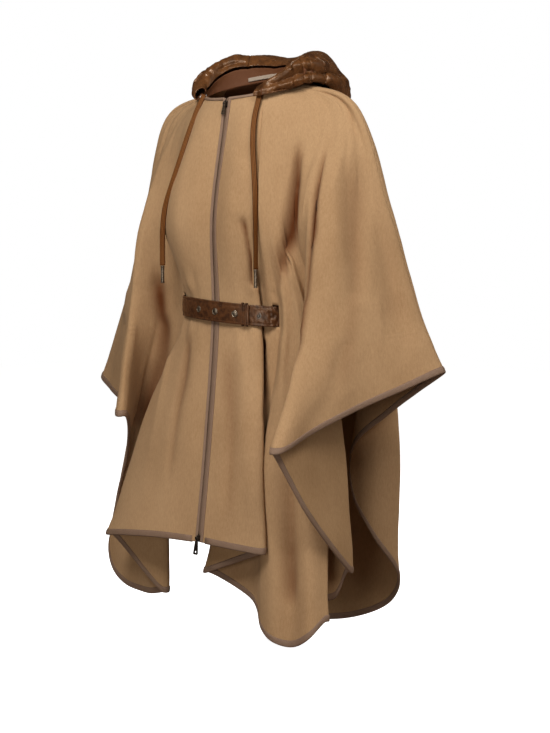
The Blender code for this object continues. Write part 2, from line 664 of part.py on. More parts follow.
def make_slider(name, point, normal, length, width, collection):
    """A slider body with two cheeks, and its pull tab on a barrel between them, hung on the hinge."""
    helpers = bpy.data.collections["cutters"]
    tilt = math.atan2(normal.z, -normal.y)
    body = bmesh.new()
    depth = SLIDER_FRONT - CHAIN_BACK
    add_box(body, (0, -(SLIDER_FRONT + CHAIN_BACK) / 2, 0), (SLIDER_WIDTH, depth, SLIDER_HEIGHT))
    slider = object_from(body, f"slider_{name}", "metal", collection)
    slider.location = point
    slider.rotation_euler = (-tilt, 0, 0)
    for side in (-1, 1):
        cheek = bmesh.new()
        reach = HINGE_LIFT + BARREL_RADIUS - SLIDER_FRONT + GAP
        middle = (side * (BARREL_HALF + GAP + CHEEK / 2), -(SLIDER_FRONT + reach / 2 - GAP), 0)
        add_box(cheek, middle, (CHEEK, reach + 2 * GAP, CHEEK_HEIGHT))
        join(slider, cheek, f"cheek_{name}_{side + 1}", helpers)
    plate = bmesh.new()
    outline = pull_outline(length, width)
    corners = [plate.verts.new((x, -PULL_WALL / 2, z)) for x, z in outline]
    face = plate.faces.new(corners)
    grown = bmesh.ops.extrude_face_region(plate, geom=[face])
    moved = [item for item in grown["geom"] if isinstance(item, bmesh.types.BMVert)]
    bmesh.ops.translate(plate, verts=moved, vec=(0, PULL_WALL, 0))
    bmesh.ops.recalc_face_normals(plate, faces=plate.faces)
    pull = object_from(plate, f"pull_{name}", "metal", collection)
    pull.location = point + normal * HINGE_LIFT
    pull.rotation_euler = (-tilt, 0, 0)
    barrel = bmesh.new()
    turned = Matrix.Rotation(math.pi / 2, 4, "Y")
    bmesh.ops.create_cone(barrel, cap_ends=True, segments=16, radius1=BARREL_RADIUS, radius2=BARREL_RADIUS,
                          depth=2 * BARREL_HALF + 0.02 * MM, matrix=turned)
    join(pull, barrel, f"barrel_{name}", helpers)
    hole = bmesh.new()
    across = Matrix.Translation((0, 0, -length + 2 * PULL_HOLE + 1 * MM)) @ Matrix.Rotation(math.pi / 2, 4, "X")
    bmesh.ops.create_cone(hole, cap_ends=True, segments=16, radius1=PULL_HOLE, radius2=PULL_HOLE,
                          depth=4 * PULL_WALL, matrix=across)
    cutter = join(pull, hole, f"hole_{name}", helpers)
    pull.modifiers[cutter.name].operation = "DIFFERENCE"


def waist_place(degrees, offset):
    """A point of a path round the waist, and the way out from it, in plan."""
    angle = math.radians(degrees)
    out = Vector((math.sin(angle) / BELT_HALF_WIDTH, -math.cos(angle) / BELT_HALF_DEPTH, 0)).normalized()
    point = Vector((BELT_HALF_WIDTH * math.sin(angle), -BELT_HALF_DEPTH * math.cos(angle), 0)) + out * offset
    return Vector((point.x, point.y, waist_height(point.x))), out


def make_belt(collection):
    controls = [waist_place(angle, offset * MM)[0] for angle, offset in BELT_PATH]
    path = smooth_points(controls, [[0, 0.33, 0.67]] * (len(controls) - 1))
    up = Vector((0, 0, BELT_HEIGHT / 2))
    skins = [[[], []], [[], []]]
    for k, point in enumerate(path):
        ahead = (path[min(k + 1, len(path) - 1)] - path[max(k - 1, 0)]) * LEVEL
        out = Vector((ahead.y, -ahead.x, 0)).normalized()
        for grid, side in zip(skins, (1, -1)):
            grid[0].append(point + out * side * BELT_WALL / 2 + up)
            grid[1].append(point + out * side * BELT_WALL / 2 - up)
    points, faces = solid_between(*skins)
    face_out(mesh_object("belt", points, faces, "nylon", collection))


def make_snap(name, place, lift, collection):
    angle = math.degrees(math.asin(place * MM / BELT_HALF_WIDTH))
    point, out = waist_place(angle, lift + BELT_WALL / 2 + GAP + SNAP_HEIGHT / 2)
    work = bmesh.new()
    bmesh.ops.create_cone(work, cap_ends=True, segments=24, radius1=SNAP_RADIUS, radius2=SNAP_RADIUS * 0.86,
                          depth=SNAP_HEIGHT)
    snap = object_from(work, name, "metal", collection)
    snap.location = point
    snap.rotation_euler = out.to_track_quat("Z", "Y").to_euler()


def make_snaps(collection):
    for number, place in enumerate(SNAP_PLACES, 1):
        make_snap(f"snap_{number}", place, BELT_OVER, collection)
    make_snap("snap_socket", SOCKET_PLACE, BELT_UNDER, collection)


def make_cord(name, route, collection):
    """A drawcord's own tube and the metal tip on its end."""
    controls = [Vector(point) * MM for point in route]
    points = smooth_points(controls, [[0, 0.33, 0.67]] * (len(controls) - 1))
    curve = bpy.data.curves.new(name, "CURVE")
    curve.dimensions = "3D"
    spline = curve.splines.new("POLY")
    spline.points.add(len(points) - 1)
    for target, point in zip(spline.points, points):
        target.co = (*point, 1)
    curve.bevel_depth = CORD_RADIUS
    curve.bevel_resolution = 2
    curve.use_fill_caps = True
    curve.materials.append(make_material(name, "nylon"))
    collection.objects.link(bpy.data.objects.new(name, curve))
    work = bmesh.new()
    bmesh.ops.create_cone(work, cap_ends=True, segments=20, radius1=TIP_RADIUS * 0.85, radius2=TIP_RADIUS,
                          depth=TIP_LENGTH)
    tip = object_from(work, name.replace("drawcord", "tip"), "metal", collection)
    tip.location = controls[-1] - Vector((0, 0, GAP + TIP_LENGTH / 2))


def main():
    clear_scene()
    collection = bpy.data.collections.new("hooded_wool_cape")
    bpy.context.scene.collection.children.link(collection)
    bpy.context.scene.collection.children.link(bpy.data.collections.new("cutters"))
    rows, columns = cape_grid()
    normals = grid_normals(rows)
    ridges = [columns[k] for k in ridge_lines()]
    make_panels(rows, normals, columns, ridges, collection)
    make_bindings(rows, normals, ridges, collection)
    make_neck_facing(rows, normals, columns, collection)
    make_neck_tape(collection)
    make_hood(rows, normals, collection)
    make_zip(rows, normals, collection)
    make_belt(collection)
    make_snaps(collection)
    make_cord("drawcord_left", LEFT_CORD, collection)
    make_cord("drawcord_right", RIGHT_CORD, collection)


main()
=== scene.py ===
import bpy
import bmesh
import math
import numpy as np
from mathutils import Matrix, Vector, noise


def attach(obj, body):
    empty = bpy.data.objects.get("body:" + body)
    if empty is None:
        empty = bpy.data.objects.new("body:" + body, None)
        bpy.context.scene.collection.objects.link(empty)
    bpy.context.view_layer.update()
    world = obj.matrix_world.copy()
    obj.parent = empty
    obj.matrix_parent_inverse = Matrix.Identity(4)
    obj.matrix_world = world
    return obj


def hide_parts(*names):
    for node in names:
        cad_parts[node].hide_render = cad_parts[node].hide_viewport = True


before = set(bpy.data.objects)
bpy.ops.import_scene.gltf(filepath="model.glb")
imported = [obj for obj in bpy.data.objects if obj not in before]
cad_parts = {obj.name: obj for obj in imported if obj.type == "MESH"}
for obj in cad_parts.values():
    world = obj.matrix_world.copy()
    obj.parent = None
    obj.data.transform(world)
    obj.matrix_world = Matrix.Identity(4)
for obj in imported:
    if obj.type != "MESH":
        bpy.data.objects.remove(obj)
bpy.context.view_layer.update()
mm = 0.001
scene = bpy.context.scene
scene.view_settings.view_transform = "Standard"
scene.view_settings.gamma = 0.9
print("frame loaded,", len(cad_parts), "nodes")


def newObject(name, data):
    obj = bpy.data.objects.new(name, data)
    scene.collection.objects.link(obj)
    return obj


# camera, floor and light
cameraSetup = {"azimuth": 42.5, "elevation": 3.0, "distance": 3.0, "lens": 83.2, "target": (0.0287, 0.0263, -0.509)}


def makeCamera(setup):
    data = bpy.data.cameras.new("camera")
    camera = newObject("camera", data)
    turn = math.radians(setup["azimuth"])
    rise = math.radians(setup["elevation"])
    back = Vector((math.sin(turn) * math.cos(rise), -math.cos(turn) * math.cos(rise), math.sin(rise)))
    camera.location = Vector(setup["target"]) + back * setup["distance"]
    camera.rotation_mode = "QUATERNION"
    camera.rotation_quaternion = (-back).to_track_quat("-Z", "Y")
    data.lens = setup["lens"]
    scene.camera = camera


stageSetup = {
    "floorZ": -1.02, "floorSize": 16, "floorColour": (0.93, 0.93, 0.93), "floorBounce": (0.16, 0.11, 0.08),
    "floorGlow": 0.95, "backdrop": 1.0, "ambient": 0.07, "roomTint": (1.0, 0.80, 0.62), "aim": (0, 0, -0.35),
    "key": (41, (0.35, -1.8, 1.35), 0.9), "fill": (26, (2.0, -1.0, 1.3), 1.0), "low": (24, (1.0, -2.5, -0.75), 1.2),
    "rim": (5, (1.9, 1.3, 1.5), 1.2), "back": (40, (-0.9, 2.3, 1.2), 1.6), "backFill": (24, (1.5, 2.3, -0.1), 1.6),
}


def makeStage(setup):
    mesh = bpy.data.meshes.new("floor")
    half = setup["floorSize"] / 2
    z = setup["floorZ"]
    mesh.from_pydata([(-half, -half, z), (half, -half, z), (half, half, z), (-half, half, z)], [], [(0, 1, 2, 3)])
    floor = newObject("floor", mesh)
    paper = bpy.data.materials.new("paleFloor")
    paper.use_nodes = True
    tree = paper.node_tree
    shader = tree.nodes["Principled BSDF"]
    seen = tree.nodes.new("ShaderNodeLightPath").outputs["Is Camera Ray"]  # pale to the camera, dull to the cloth
    tone = blendColours(tree, seen, (*setup["floorBounce"], 1), (*setup["floorColour"], 1))
    tree.links.new(tone, shader.inputs["Base Color"])
    shader.inputs["Roughness"].default_value = 0.95
    shader.inputs["Emission Color"].default_value = (1, 1, 1, 1)
    tree.links.new(times(tree, seen, setup["floorGlow"]), shader.inputs["Emission Strength"])
    mesh.materials.append(paper)
    world = bpy.data.worlds.new("studio")
    scene.world = world
    world.use_nodes = True
    tree = world.node_tree
    background = tree.nodes["Background"]
    seen = tree.nodes.new("ShaderNodeLightPath").outputs["Is Camera Ray"]
    tint = blendColours(tree, seen, (*setup["roomTint"], 1), (1, 1, 1, 1))
    tree.links.new(tint, background.inputs["Color"])
    mix = tree.nodes.new("ShaderNodeMix")  # the camera sees white paper, the cloth a dimmer room
    mix.inputs["A"].default_value = setup["ambient"]
    mix.inputs["B"].default_value = setup["backdrop"]
    tree.links.new(seen, mix.inputs["Factor"])
    tree.links.new(mix.outputs["Result"], background.inputs["Strength"])
    for name in ("key", "fill", "low", "rim", "back", "backFill"):
        power, place, size = setup[name]
        light = bpy.data.lights.new(name, "AREA")
        light.energy = power
        light.size = size
        lamp = newObject(name, light)
        lamp.visible_glossy = name not in ("back", "backFill")  # no white glare along the top of the hood
        lamp.location = place
        lamp.rotation_euler = (Vector(setup["aim"]) - Vector(place)).to_track_quat("-Z", "Y").to_euler()


# curves and grids that more than one piece uses
def spanCurves(controls, shares):  # controls (curves, n, 3); shares for each span, common or one row a curve
    gaps = np.diff(controls, axis=1)
    knots = np.sqrt(np.maximum(np.linalg.norm(gaps, axis=2), 1e-6))[..., None]
    rates = gaps / knots
    slopes = np.empty_like(controls)
    slopes[:, 0] = rates[:, 0]
    slopes[:, -1] = rates[:, -1]
    slopes[:, 1:-1] = (rates[:, :-1] * knots[:, 1:] + rates[:, 1:] * knots[:, :-1]) / (knots[:, :-1] + knots[:, 1:])
    parts = []
    for k, share in enumerate(shares):
        t = np.broadcast_to(np.asarray(share, float), (len(controls), np.shape(share)[-1]))[..., None]
        start, end = controls[:, k, None], controls[:, k + 1, None]
        leave, arrive = slopes[:, k, None] * knots[:, k, None], slopes[:, k + 1, None] * knots[:, k, None]
        parts.append(start * (2 * t**3 - 3 * t**2 + 1) + leave * (t**3 - 2 * t**2 + t)
                     + end * (3 * t**2 - 2 * t**3) + arrive * (t**3 - t**2))
    parts.append(controls[:, -1:])
    return np.concatenate(parts, axis=1)


def evenly(count):
    return np.arange(count) / count


def unit(v):
    return v / np.maximum(np.linalg.norm(v, axis=-1, keepdims=True), 1e-12)


def ease(t):  # 0 to 1 with level ends
    return t * t * (3 - 2 * t)


def runLength(grid, axis):  # how far each point lies along its row (axis 1) or column (axis 0)
    steps = np.linalg.norm(np.diff(grid, axis=axis), axis=2)
    start = np.zeros_like(steps[:, :1] if axis else steps[:1])
    return np.concatenate([start, np.cumsum(steps, axis=axis)], axis=axis)


def between(rows, at):  # rows at places that may fall between two of them
    low = np.minimum(at.astype(int), len(rows) - 2)
    t = (at - low)[:, None, None]
    return rows[low] * (1 - t) + rows[low + 1] * t


def gridNormals(grid):
    return unit(np.cross(np.gradient(grid, axis=0), np.gradient(grid, axis=1)))


def gridMesh(name, grid, uv, material, leftOut=None, shade=None):
    high, wide = grid.shape[:2]
    i, j = np.meshgrid(np.arange(high - 1), np.arange(wide - 1), indexing="ij")
    a = i * wide + j
    faces = np.stack([a, a + wide, a + wide + 1, a + 1], axis=-1)
    keep = np.ones(a.shape, bool) if leftOut is None else ~leftOut
    faces = faces[keep]
    mesh = bpy.data.meshes.new(name)
    mesh.from_pydata(grid.reshape(-1, 3).tolist(), [], faces.tolist())
    layer = mesh.uv_layers.new(name="cloth")
    flat = uv.reshape(-1, 2)
    loops = np.empty(len(mesh.loops), np.int32)
    mesh.loops.foreach_get("vertex_index", loops)
    layer.data.foreach_set("uv", flat[loops].astype(np.float32).ravel())
    mesh.materials.append(material)
    mesh.polygons.foreach_set("use_smooth", np.ones(len(mesh.polygons), bool))
    # painted shade: how dark the wool is painted in each fold, kept on the points
    if shade is not None:
        mesh.attributes.new("paintedFoldShade", "FLOAT", "POINT").data.foreach_set("value", shade.astype(np.float32).ravel())
    work = bmesh.new()
    work.from_mesh(mesh)
    bmesh.ops.delete(work, geom=[v for v in work.verts if not v.link_faces], context="VERTS")
    work.to_mesh(mesh)
    work.free()
    return newObject(name, mesh)


def closeMesh(mesh, fill=True):  # merge the seam, fill open ends, faces outwards
    work = bmesh.new()
    work.from_mesh(mesh)
    bmesh.ops.remove_doubles(work, verts=work.verts, dist=1e-6)
    if fill:
        bmesh.ops.holes_fill(work, edges=[e for e in work.edges if e.is_boundary], sides=0)
    bmesh.ops.recalc_face_normals(work, faces=work.faces)
    work.to_mesh(mesh)
    work.free()


def thicken(obj, wall, inside=None):
    solid = obj.modifiers.new("wall", "SOLIDIFY")
    solid.thickness = wall
    solid.offset = 0.0
    solid.use_even_offset = False
    if inside:
        obj.data.materials.append(inside)
        solid.material_offset = len(obj.data.materials) - 1
    return obj


def clothUv(grid):
    return np.stack([runLength(grid, 1), -runLength(grid, 0)], axis=-1)


# the cape's form: one row a line from the neckline to the edge, x counted outwards, all in mm:
# name, degrees round the neck, shoulder, chest (x, y), waist (x, y), half way down (x, y), edge, half width of its fold
cape = {
    "neckHalf": (98, 70), "neckY": 5, "neckFrontZ": -42, "neckRise": 45, "chestZ": -250, "waistZ": -409,
    "waistTilt": 0.085, "tiltReach": 120, "slitHalf": 18.5, "band": 10, "wall": 2.5, "seamGap": 0.15,
    "cellWidth": 4.9, "usualWidth": 80, "foldRoom": 0.3, "bandMost": 0.45, "rows": (14, 37, 26, 37, 37),
    "leftFront": [
        ("front_edge", 3, (5, -72, -85), (5, -99), (5, -95), (5, -112), (5, -137, -806), 0),
        ("front_middle", 22, (38, -73, -80), (50, -110), (46, -91), (62, -110), (75, -130, -811), 0),
        ("pleat_crest", 40, (70, -66, -78), (86, -95), (85, -71), (112, -94), (132, -112, -815), 6),
        ("pleat_root", 43, (75, -63, -78), (92, -92), (64, -67), (22, -84), (-28, -96, -866), 6),
        ("slit_inner", 46, (80, -60, -77), (98, -89), (104, -61), (72, -66), (60, -72, -902), 0),
        ("slit_outer", 49, (86, -57, -77), (104, -86), (117, -56), (98, -70), (88, -82, -918), 0),
        ("fall_inner", 52, (93, -54, -76), (110, -83), (127, -62), (112, -84), (112, -98, -946), 0),
        ("fall_ridge", 55, (101, -51, -76), (116, -81), (138, -68), (134, -90), (146, -108, -962), 0),
        ("fall_hollow", 58, (109, -47, -75), (122, -78), (150, -60), (158, -75), (178, -97, -968), 0),
        ("fall_outer_ridge", 61, (117, -43, -75), (128, -75), (160, -59), (190, -71), (221, -100, -947), 0),
        ("fall_turn", 64, (125, -38, -74), (134, -72), (168, -46), (206, -42), (236, -68, -921), 5),
        ("fall_back", 67, (133, -33, -74), (139, -69), (162, -32), (178, -16), (192, -28, -900), 0),
        ("front_corner", 70, (140, -28, -73), (145, -66), (167, -22), (190, -3), (208, -18, -892), 0),
        ("sleeve_root", 73, (147, -23, -73), (151, -64), (178, -16), (210, 2), (231, -2, -848), 6),
        ("sleeve_under", 77, (164, -13, -72), (180, -66), (196, -60), (218, -92), (238, -124, -738), 0),
        ("sleeve_fold", 81, (182, -4, -70), (205, -78), (211, -106), (218, -148), (226, -200, -633), 10),
        ("sleeve_front", 85, (196, 0, -68), (234, -62), (248, -86), (256, -112), (250, -132, -606), 0),
        ("sleeve_side", 89, (208, 3, -66), (262, -28), (292, -38), (292, -52), (290, -62, -568), 0),
        ("sleeve_top", 92, (214, 5, -65), (278, 0), (322, 4), (334, -2), (336, -8, -538), 0),
        ("ridge", 95, (223, 8, -66), (291, 19), (346, 34), (368, 39), (388, 45, -506), 0),
    ],
    "rightFront": [
        ("front_edge", 3, (5, -72, -85), (5, -99), (5, -95), (5, -112), (5, -137, -806), 0),
        ("front_middle", 20, (36, -73, -80), (52, -110), (42, -92), (70, -114), (92, -142, -806), 0),
        ("front_side", 34, (62, -68, -78), (98, -104), (76, -80), (136, -104), (186, -138, -812), 0),
        ("pleat_crest", 46, (84, -59, -77), (134, -84), (98, -65), (198, -80), (266, -110, -821), 6),
        ("pleat_root", 49, (89, -57, -76), (139, -74), (86, -59), (150, -62), (150, -66, -921), 6),
        ("slit_inner", 52, (94, -54, -76), (143, -67), (105, -59), (176, -50), (204, -56, -931), 0),
        ("slit_outer", 55, (100, -51, -75), (147, -61), (118, -53), (196, -42), (240, -48, -932), 0),
        ("fall_side", 60, (112, -45, -74), (155, -50), (142, -42), (222, -34), (290, -42, -925), 0),
        ("front_corner", 65, (124, -37, -73), (164, -42), (170, -36), (250, -28), (337, -30, -903), 0),
        ("corner_top", 69, (134, -31, -72), (172, -38), (186, -34), (260, -31), (352, -27, -866), 0),
        ("side_low", 73, (146, -24, -71), (184, -38), (198, -34), (258, -36), (318, -38, -774), 0),
        ("side_high", 77, (160, -16, -70), (202, -42), (210, -44), (242, -52), (270, -54, -674), 0),
        ("sleeve_fold", 82, (178, -6, -67), (228, -52), (232, -76), (226, -98), (218, -118, -602), 8),
        ("sleeve_side", 87, (198, 0, -62), (258, -26), (292, -38), (298, -44), (294, -48, -584), 0),
        ("sleeve_top", 91, (212, 4, -58), (277, -2), (335, 2), (356, -2), (370, -6, -565), 0),
        ("ridge", 95, (221, 7, -58), (285, 17), (357, 26), (392, 29), (431, 30, -543), 0),
    ],
    "back": [
        ("sleeve_back", 99, (210, 20, -60), (274, 46), (310, 62), (312, 70), (312, 68, -545), 0),
        ("sleeve_hollow", 104, (190, 44, -56), (248, 78), (258, 88), (246, 86), (238, 82, -588), 0),
        ("fold_high", 110, (162, 64, -52), (205, 104), (192, 102), (170, 98), (152, 92, -652), 0),
        ("fold_low", 115, (150, 74, -50), (190, 112), (180, 108), (160, 104), (150, 96, -732), 0),
        ("under_side", 121, (138, 84, -49), (174, 122), (178, 126), (182, 122), (186, 108, -803), 0),
        ("back_corner", 128, (122, 96, -47), (156, 134), (176, 156), (190, 172), (198, 168, -882), 0),
        ("back_turn", 137, (100, 108, -46), (126, 143), (146, 170), (158, 190), (160, 192, -934), 0),
        ("back_side", 152, (64, 120, -45), (78, 149), (88, 160), (92, 176), (92, 182, -968), 0),
    ],
    "centreBack": ("centre_back", 180, (0, 126, -46), (0, 147), (0, 148), (0, 158), (0, 166, -982), 0),
}


def neckPoint(degrees, form):
    angle = math.radians(degrees)
    return np.array([form["neckHalf"][0] * math.sin(angle), form["neckY"] - form["neckHalf"][1] * math.cos(angle),
                     form["neckFrontZ"] + form["neckRise"] * (1 - math.cos(angle)) / 2])


def waistHeight(x, form):
    return form["waistZ"] - form["waistTilt"] * np.clip(x, -form["tiltReach"], form["tiltReach"])


def capeGrid(form):
    left = [(row, 1) for row in form["leftFront"] + form["back"]]
    right = [(row, -1) for row in form["back"][::-1] + form["rightFront"][::-1]]
    lines = left + [(form["centreBack"], 1)] + right
    controls = np.zeros((len(lines), 6, 3))
    for k, (row, side) in enumerate(lines):
        _, degrees, shoulder, chest, waist, lower, edge, _ = row
        controls[k] = (neckPoint(degrees, form), shoulder, (*chest, form["chestZ"]), (*waist, 0), (*lower, 0), edge)
        controls[k, :, 0] *= side
    controls[:, 3, 2] = waistHeight(controls[:, 3, 0], form)
    controls[:, 4, 2] = (controls[:, 3, 2] + controls[:, 5, 2]) / 2
    above = ((controls[:, 3, 2] + form["slitHalf"] - form["chestZ"]) / (controls[:, 3, 2] - form["chestZ"]))[:, None]
    below = (form["slitHalf"] / (controls[:, 3, 2] - controls[:, 4, 2]))[:, None]
    band = 1 - form["band"] / np.linalg.norm(controls[:, 5] - controls[:, 4], axis=1)[:, None]
    counts = form["rows"]
    shares = [evenly(counts[0]), evenly(counts[1]),
              np.hstack([above * evenly(counts[2]), above + (1 - above) * evenly(3)]),
              np.hstack([below * evenly(3), below + (1 - below) * evenly(counts[3])]),
              np.hstack([band * evenly(counts[4]), band + (1 - band) * evenly(5)])]
    slitRows = (counts[0] + counts[1] + counts[2], counts[0] + counts[1] + counts[2] + 6)
    rows = spanCurves(controls, shares).transpose(1, 0, 2)
    folds = [row[-1] for row, _ in lines]
    flat = np.array([1, 1, 0])
    wide = []
    spans = []
    place = []
    for k, fold in enumerate(folds):
        place.append(len(wide) + (1 if fold else 0))
        if fold:
            come = (rows[:, k] - rows[:, k - 1]) * flat
            leave = (rows[:, k + 1] - rows[:, k]) * flat
            room = form["foldRoom"] * np.minimum(np.linalg.norm(come, axis=1), np.linalg.norm(leave, axis=1))
            width = np.minimum(fold, room)[:, None]
            come, leave = unit(come), unit(leave)
            inset = (come - leave) * width / 2
            aside = unit(come + leave) * width
            wide += [rows[:, k] - inset - aside, rows[:, k], rows[:, k] - inset + aside]
            spans += [2, 2, 0]
        else:
            wide.append(rows[:, k])
            spans.append(0)
    wide = np.stack(wide, axis=1)
    spans.pop()
    across = []
    for k, fixed in enumerate(spans):
        reach = np.linalg.norm(wide[:, k + 1] - wide[:, k], axis=1)
        count = fixed or max(2, int(math.ceil(np.percentile(reach, form["usualWidth"]) / form["cellWidth"])))
        across.append(np.broadcast_to(evenly(count), (len(wide), count)))
    near, far = (np.minimum(form["band"] / np.linalg.norm(wide[:, a] - wide[:, b], axis=1), form["bandMost"])[:, None]
                 for a, b in ((1, 0), (-1, -2)))
    across[0] = np.hstack([near * evenly(4), near + (1 - near) * evenly(5)])
    across[-1] = np.hstack([(1 - far) * evenly(5), 1 - far + far * evenly(4)])
    starts = np.concatenate([[0], np.cumsum([a.shape[1] for a in across])])
    columns = [int(starts[p]) for p in place]
    return spanCurves(wide, across) * mm, columns, slitRows


grid, lineColumns, slitRows = capeGrid(cape)
print("cape grid", grid.shape)

leftRidge = lineColumns[len(cape["leftFront"]) - 1]
rightRidge = lineColumns[-len(cape["rightFront"])]
panelSpans = {"left": (0, leftRidge), "back": (leftRidge, rightRidge), "right": (rightRidge, grid.shape[1] - 1)}

# creases to lay, in mm: depth (out is positive), half width, edge (1 soft to 0 sharp), points on the cloth
creases = {
    "left": {
        "armFold": (-14.0, 6.5, 0.8, [
            (195, -22, -114), (198, -44, -160), (203, -66, -214), (208, -78, -255), (211, -83, -279),
            (208, -90, -310), (209, -94, -346), (210, -101, -397), (212, -110, -433), (214, -124, -471),
            (223, -140, -510)]),
        "besideArm": (4.5, 13, 1, [
            (186, -24, -110), (191, -42, -159), (185, -55, -198), (175, -65, -250), (160, -56, -300)]),
        "bellyHollow": (-15.0, 11, 0.8, [
            (144, -40, -112), (148, -46, -140), (150, -52, -165), (151, -56, -195), (150, -64, -240),
            (146, -63, -287), (138, -71, -317), (128, -72, -354), (114, -62, -379)]),
        "pleatAbove": (-10.0, 6, 0.9, [
            (70, -103, -245), (75, -101, -268), (79, -94, -305), (81, -87, -335), (80, -81, -358),
            (79, -77, -372)]),
        "belowBelt": (-14.0, 7, 0.5, [(85, -60, -452), (78, -60, -480), (80, -62, -519), (82, -63, -579)]),
        "slitCrease": (-3.0, 6, 0.3, [
            (104, -68, -368), (112, -65, -379), (122, -61, -388), (143, -64, -396), (158, -66, -398)]),
        "besideSlit": (-4.0, 7, 0.4, [
            (143, -64, -392), (143, -66, -425), (145, -67, -468), (142, -71, -510), (146, -76, -560)]),
        "sleeveHollow": (-5.0, 18, 1, [
            (236, -9, -127), (250, -19, -189), (265, -34, -276), (273, -46, -353), (277, -59, -435),
            (278, -74, -500), (275, -82, -552)]),
        "sleeveRise": (3.0, 22, 1, [
            (210, -21, -122), (228, -43, -190), (243, -62, -275), (244, -77, -353), (249, -90, -435),
            (256, -113, -516)]),
        "outerHollow": (-3.5, 24, 1, [
            (253, 4, -141), (277, 8, -221), (299, 9, -303), (317, 7, -388), (336, 4, -462)]),
        "outerRise": (2.5, 18, 1, [(278, 16, -205), (305, 23, -294), (329, 24, -374), (353, 22, -454)]),
        "sleeveEdge": (-2.5, 14, 1, [(262, -60, -440), (270, -90, -500), (262, -110, -560), (250, -125, -600)]),
        "frontRise": (4.0, 17, 1, [
            (53, -90, -441), (73, -95, -524), (84, -100, -614), (100, -111, -692), (112, -121, -790)]),
        "frontHollow": (-5.5, 14, 1, [
            (26, -95, -448), (36, -102, -528), (50, -111, -611), (56, -120, -697), (60, -131, -790)]),
        "underBelt": (-3.0, 9, 0.5, [(75, -68, -443), (86, -72, -489), (98, -86, -559), (112, -100, -610)]),
        "bust": (3.5, 26, 1, [(58, -100, -136), (72, -108, -179), (78, -108, -222), (70, -104, -262)]),
        "chestPull": (-2.0, 14, 1, [(98, -58, -90), (114, -63, -125), (126, -66, -165), (134, -68, -200)]),
        "fallOne": (5.0, 12, 1, [(112, -70, -500), (112, -80, -600), (114, -86, -720), (116, -96, -860)]),
        "fallTwo": (-8.0, 10, 0.8, [
            (152, -68, -580), (157, -74, -660), (163, -81, -771), (172, -88, -860), (176, -94, -920)]),
    },
    "right": {
        "bustTurn": (3.0, 18, 1, [
            (-98, -90, -170), (-122, -84, -200), (-131, -84, -237), (-131, -82, -262), (-122, -80, -300)]),
        "besideZip": (-6.5, 11, 0.8, [
            (-72, -81, -423), (-69, -92, -476), (-68, -102, -530), (-73, -111, -583), (-80, -121, -658),
            (-86, -131, -730)]),
        "nearZip": (3.5, 14, 1, [
            (-34, -94, -425), (-29, -98, -478), (-25, -108, -562), (-27, -118, -650), (-29, -129, -736)]),
        "outerPleat": (4.0, 13, 0.6, [
            (-128, -62, -435), (-134, -75, -498), (-136, -94, -569), (-148, -109, -643),
            (-160, -122, -713)]),
        "sleeveRidge": (6.0, 12, 0.5, [
            (-219, -43, -214), (-223, -55, -287), (-229, -67, -359), (-228, -79, -428), (-224, -87, -519)]),
        "sleeveHollow": (-14.0, 17, 1, [
            (-203, -41, -310), (-201, -40, -346), (-200, -38, -370), (-197, -33, -410), (-191, -33, -444),
            (-194, -33, -475), (-203, -32, -507), (-214, -31, -524), (-229, -32, -552), (-244, -32, -583),
            (-255, -32, -610), (-271, -35, -630), (-280, -40, -661)]),
        "sleeveFar": (-3.5, 16, 1, [
            (-248, -40, -250), (-268, -37, -324), (-288, -34, -393), (-296, -30, -470)]),
        "shoulder": (-2.0, 14, 1, [(-180, -2, -70), (-205, -6, -92), (-232, -8, -130), (-240, -19, -185)]),
        "chest": (-1.6, 14, 1, [(-57, -72, -95), (-51, -85, -120), (-49, -96, -165), (-50, -102, -216)]),
        "sideFall": (-3.0, 16, 1, [(-170, -40, -540), (-196, -42, -640), (-222, -38, -740), (-240, -34, -860)]),
    },
    "back": {
        "bladeLeft": (4.0, 20, 1, [
            (66, 138, -150), (74, 150, -280), (80, 156, -430), (86, 166, -600), (88, 174, -760),
            (92, 180, -930)]),
        "spine": (-4.5, 18, 1, [
            (8, 140, -170), (2, 148, -320), (-4, 150, -480), (4, 158, -640), (10, 162, -800)]),
        "bladeRight": (3.5, 22, 1, [
            (-60, 138, -160), (-72, 150, -300), (-84, 158, -460), (-88, 168, -640), (-80, 176, -820)]),
        "sideLeft": (-4.0, 15, 1, [
            (118, 122, -180), (132, 140, -330), (146, 158, -480), (154, 178, -640), (158, 186, -820)]),
        "sideRight": (-4.0, 17, 1, [
            (-122, 122, -190), (-136, 142, -350), (-144, 164, -520), (-152, 184, -690), (-150, 190, -860)]),
        "yokeLeft": (-2.5, 12, 0.6, [(40, 134, -150), (70, 136, -175), (110, 124, -190), (150, 112, -185)]),
        "yokeRight": (-2.2, 13, 0.6, [
            (-34, 134, -160), (-72, 136, -180), (-116, 124, -186), (-156, 110, -176)]),
        "sleeveLeft": (3.0, 16, 1, [(214, 70, -130), (250, 76, -230), (262, 84, -340), (252, 86, -450)]),
        "sleeveRight": (3.0, 16, 1, [(-214, 70, -140), (-248, 78, -240), (-260, 86, -350), (-250, 86, -470)]),
        "underLeft": (-3.0, 14, 1, [(176, 118, -300), (182, 122, -430), (184, 118, -560), (184, 112, -700)]),
        "underRight": (-3.0, 15, 1, [
            (-176, 118, -310), (-180, 124, -450), (-184, 118, -600), (-186, 112, -730)]),
    },
}
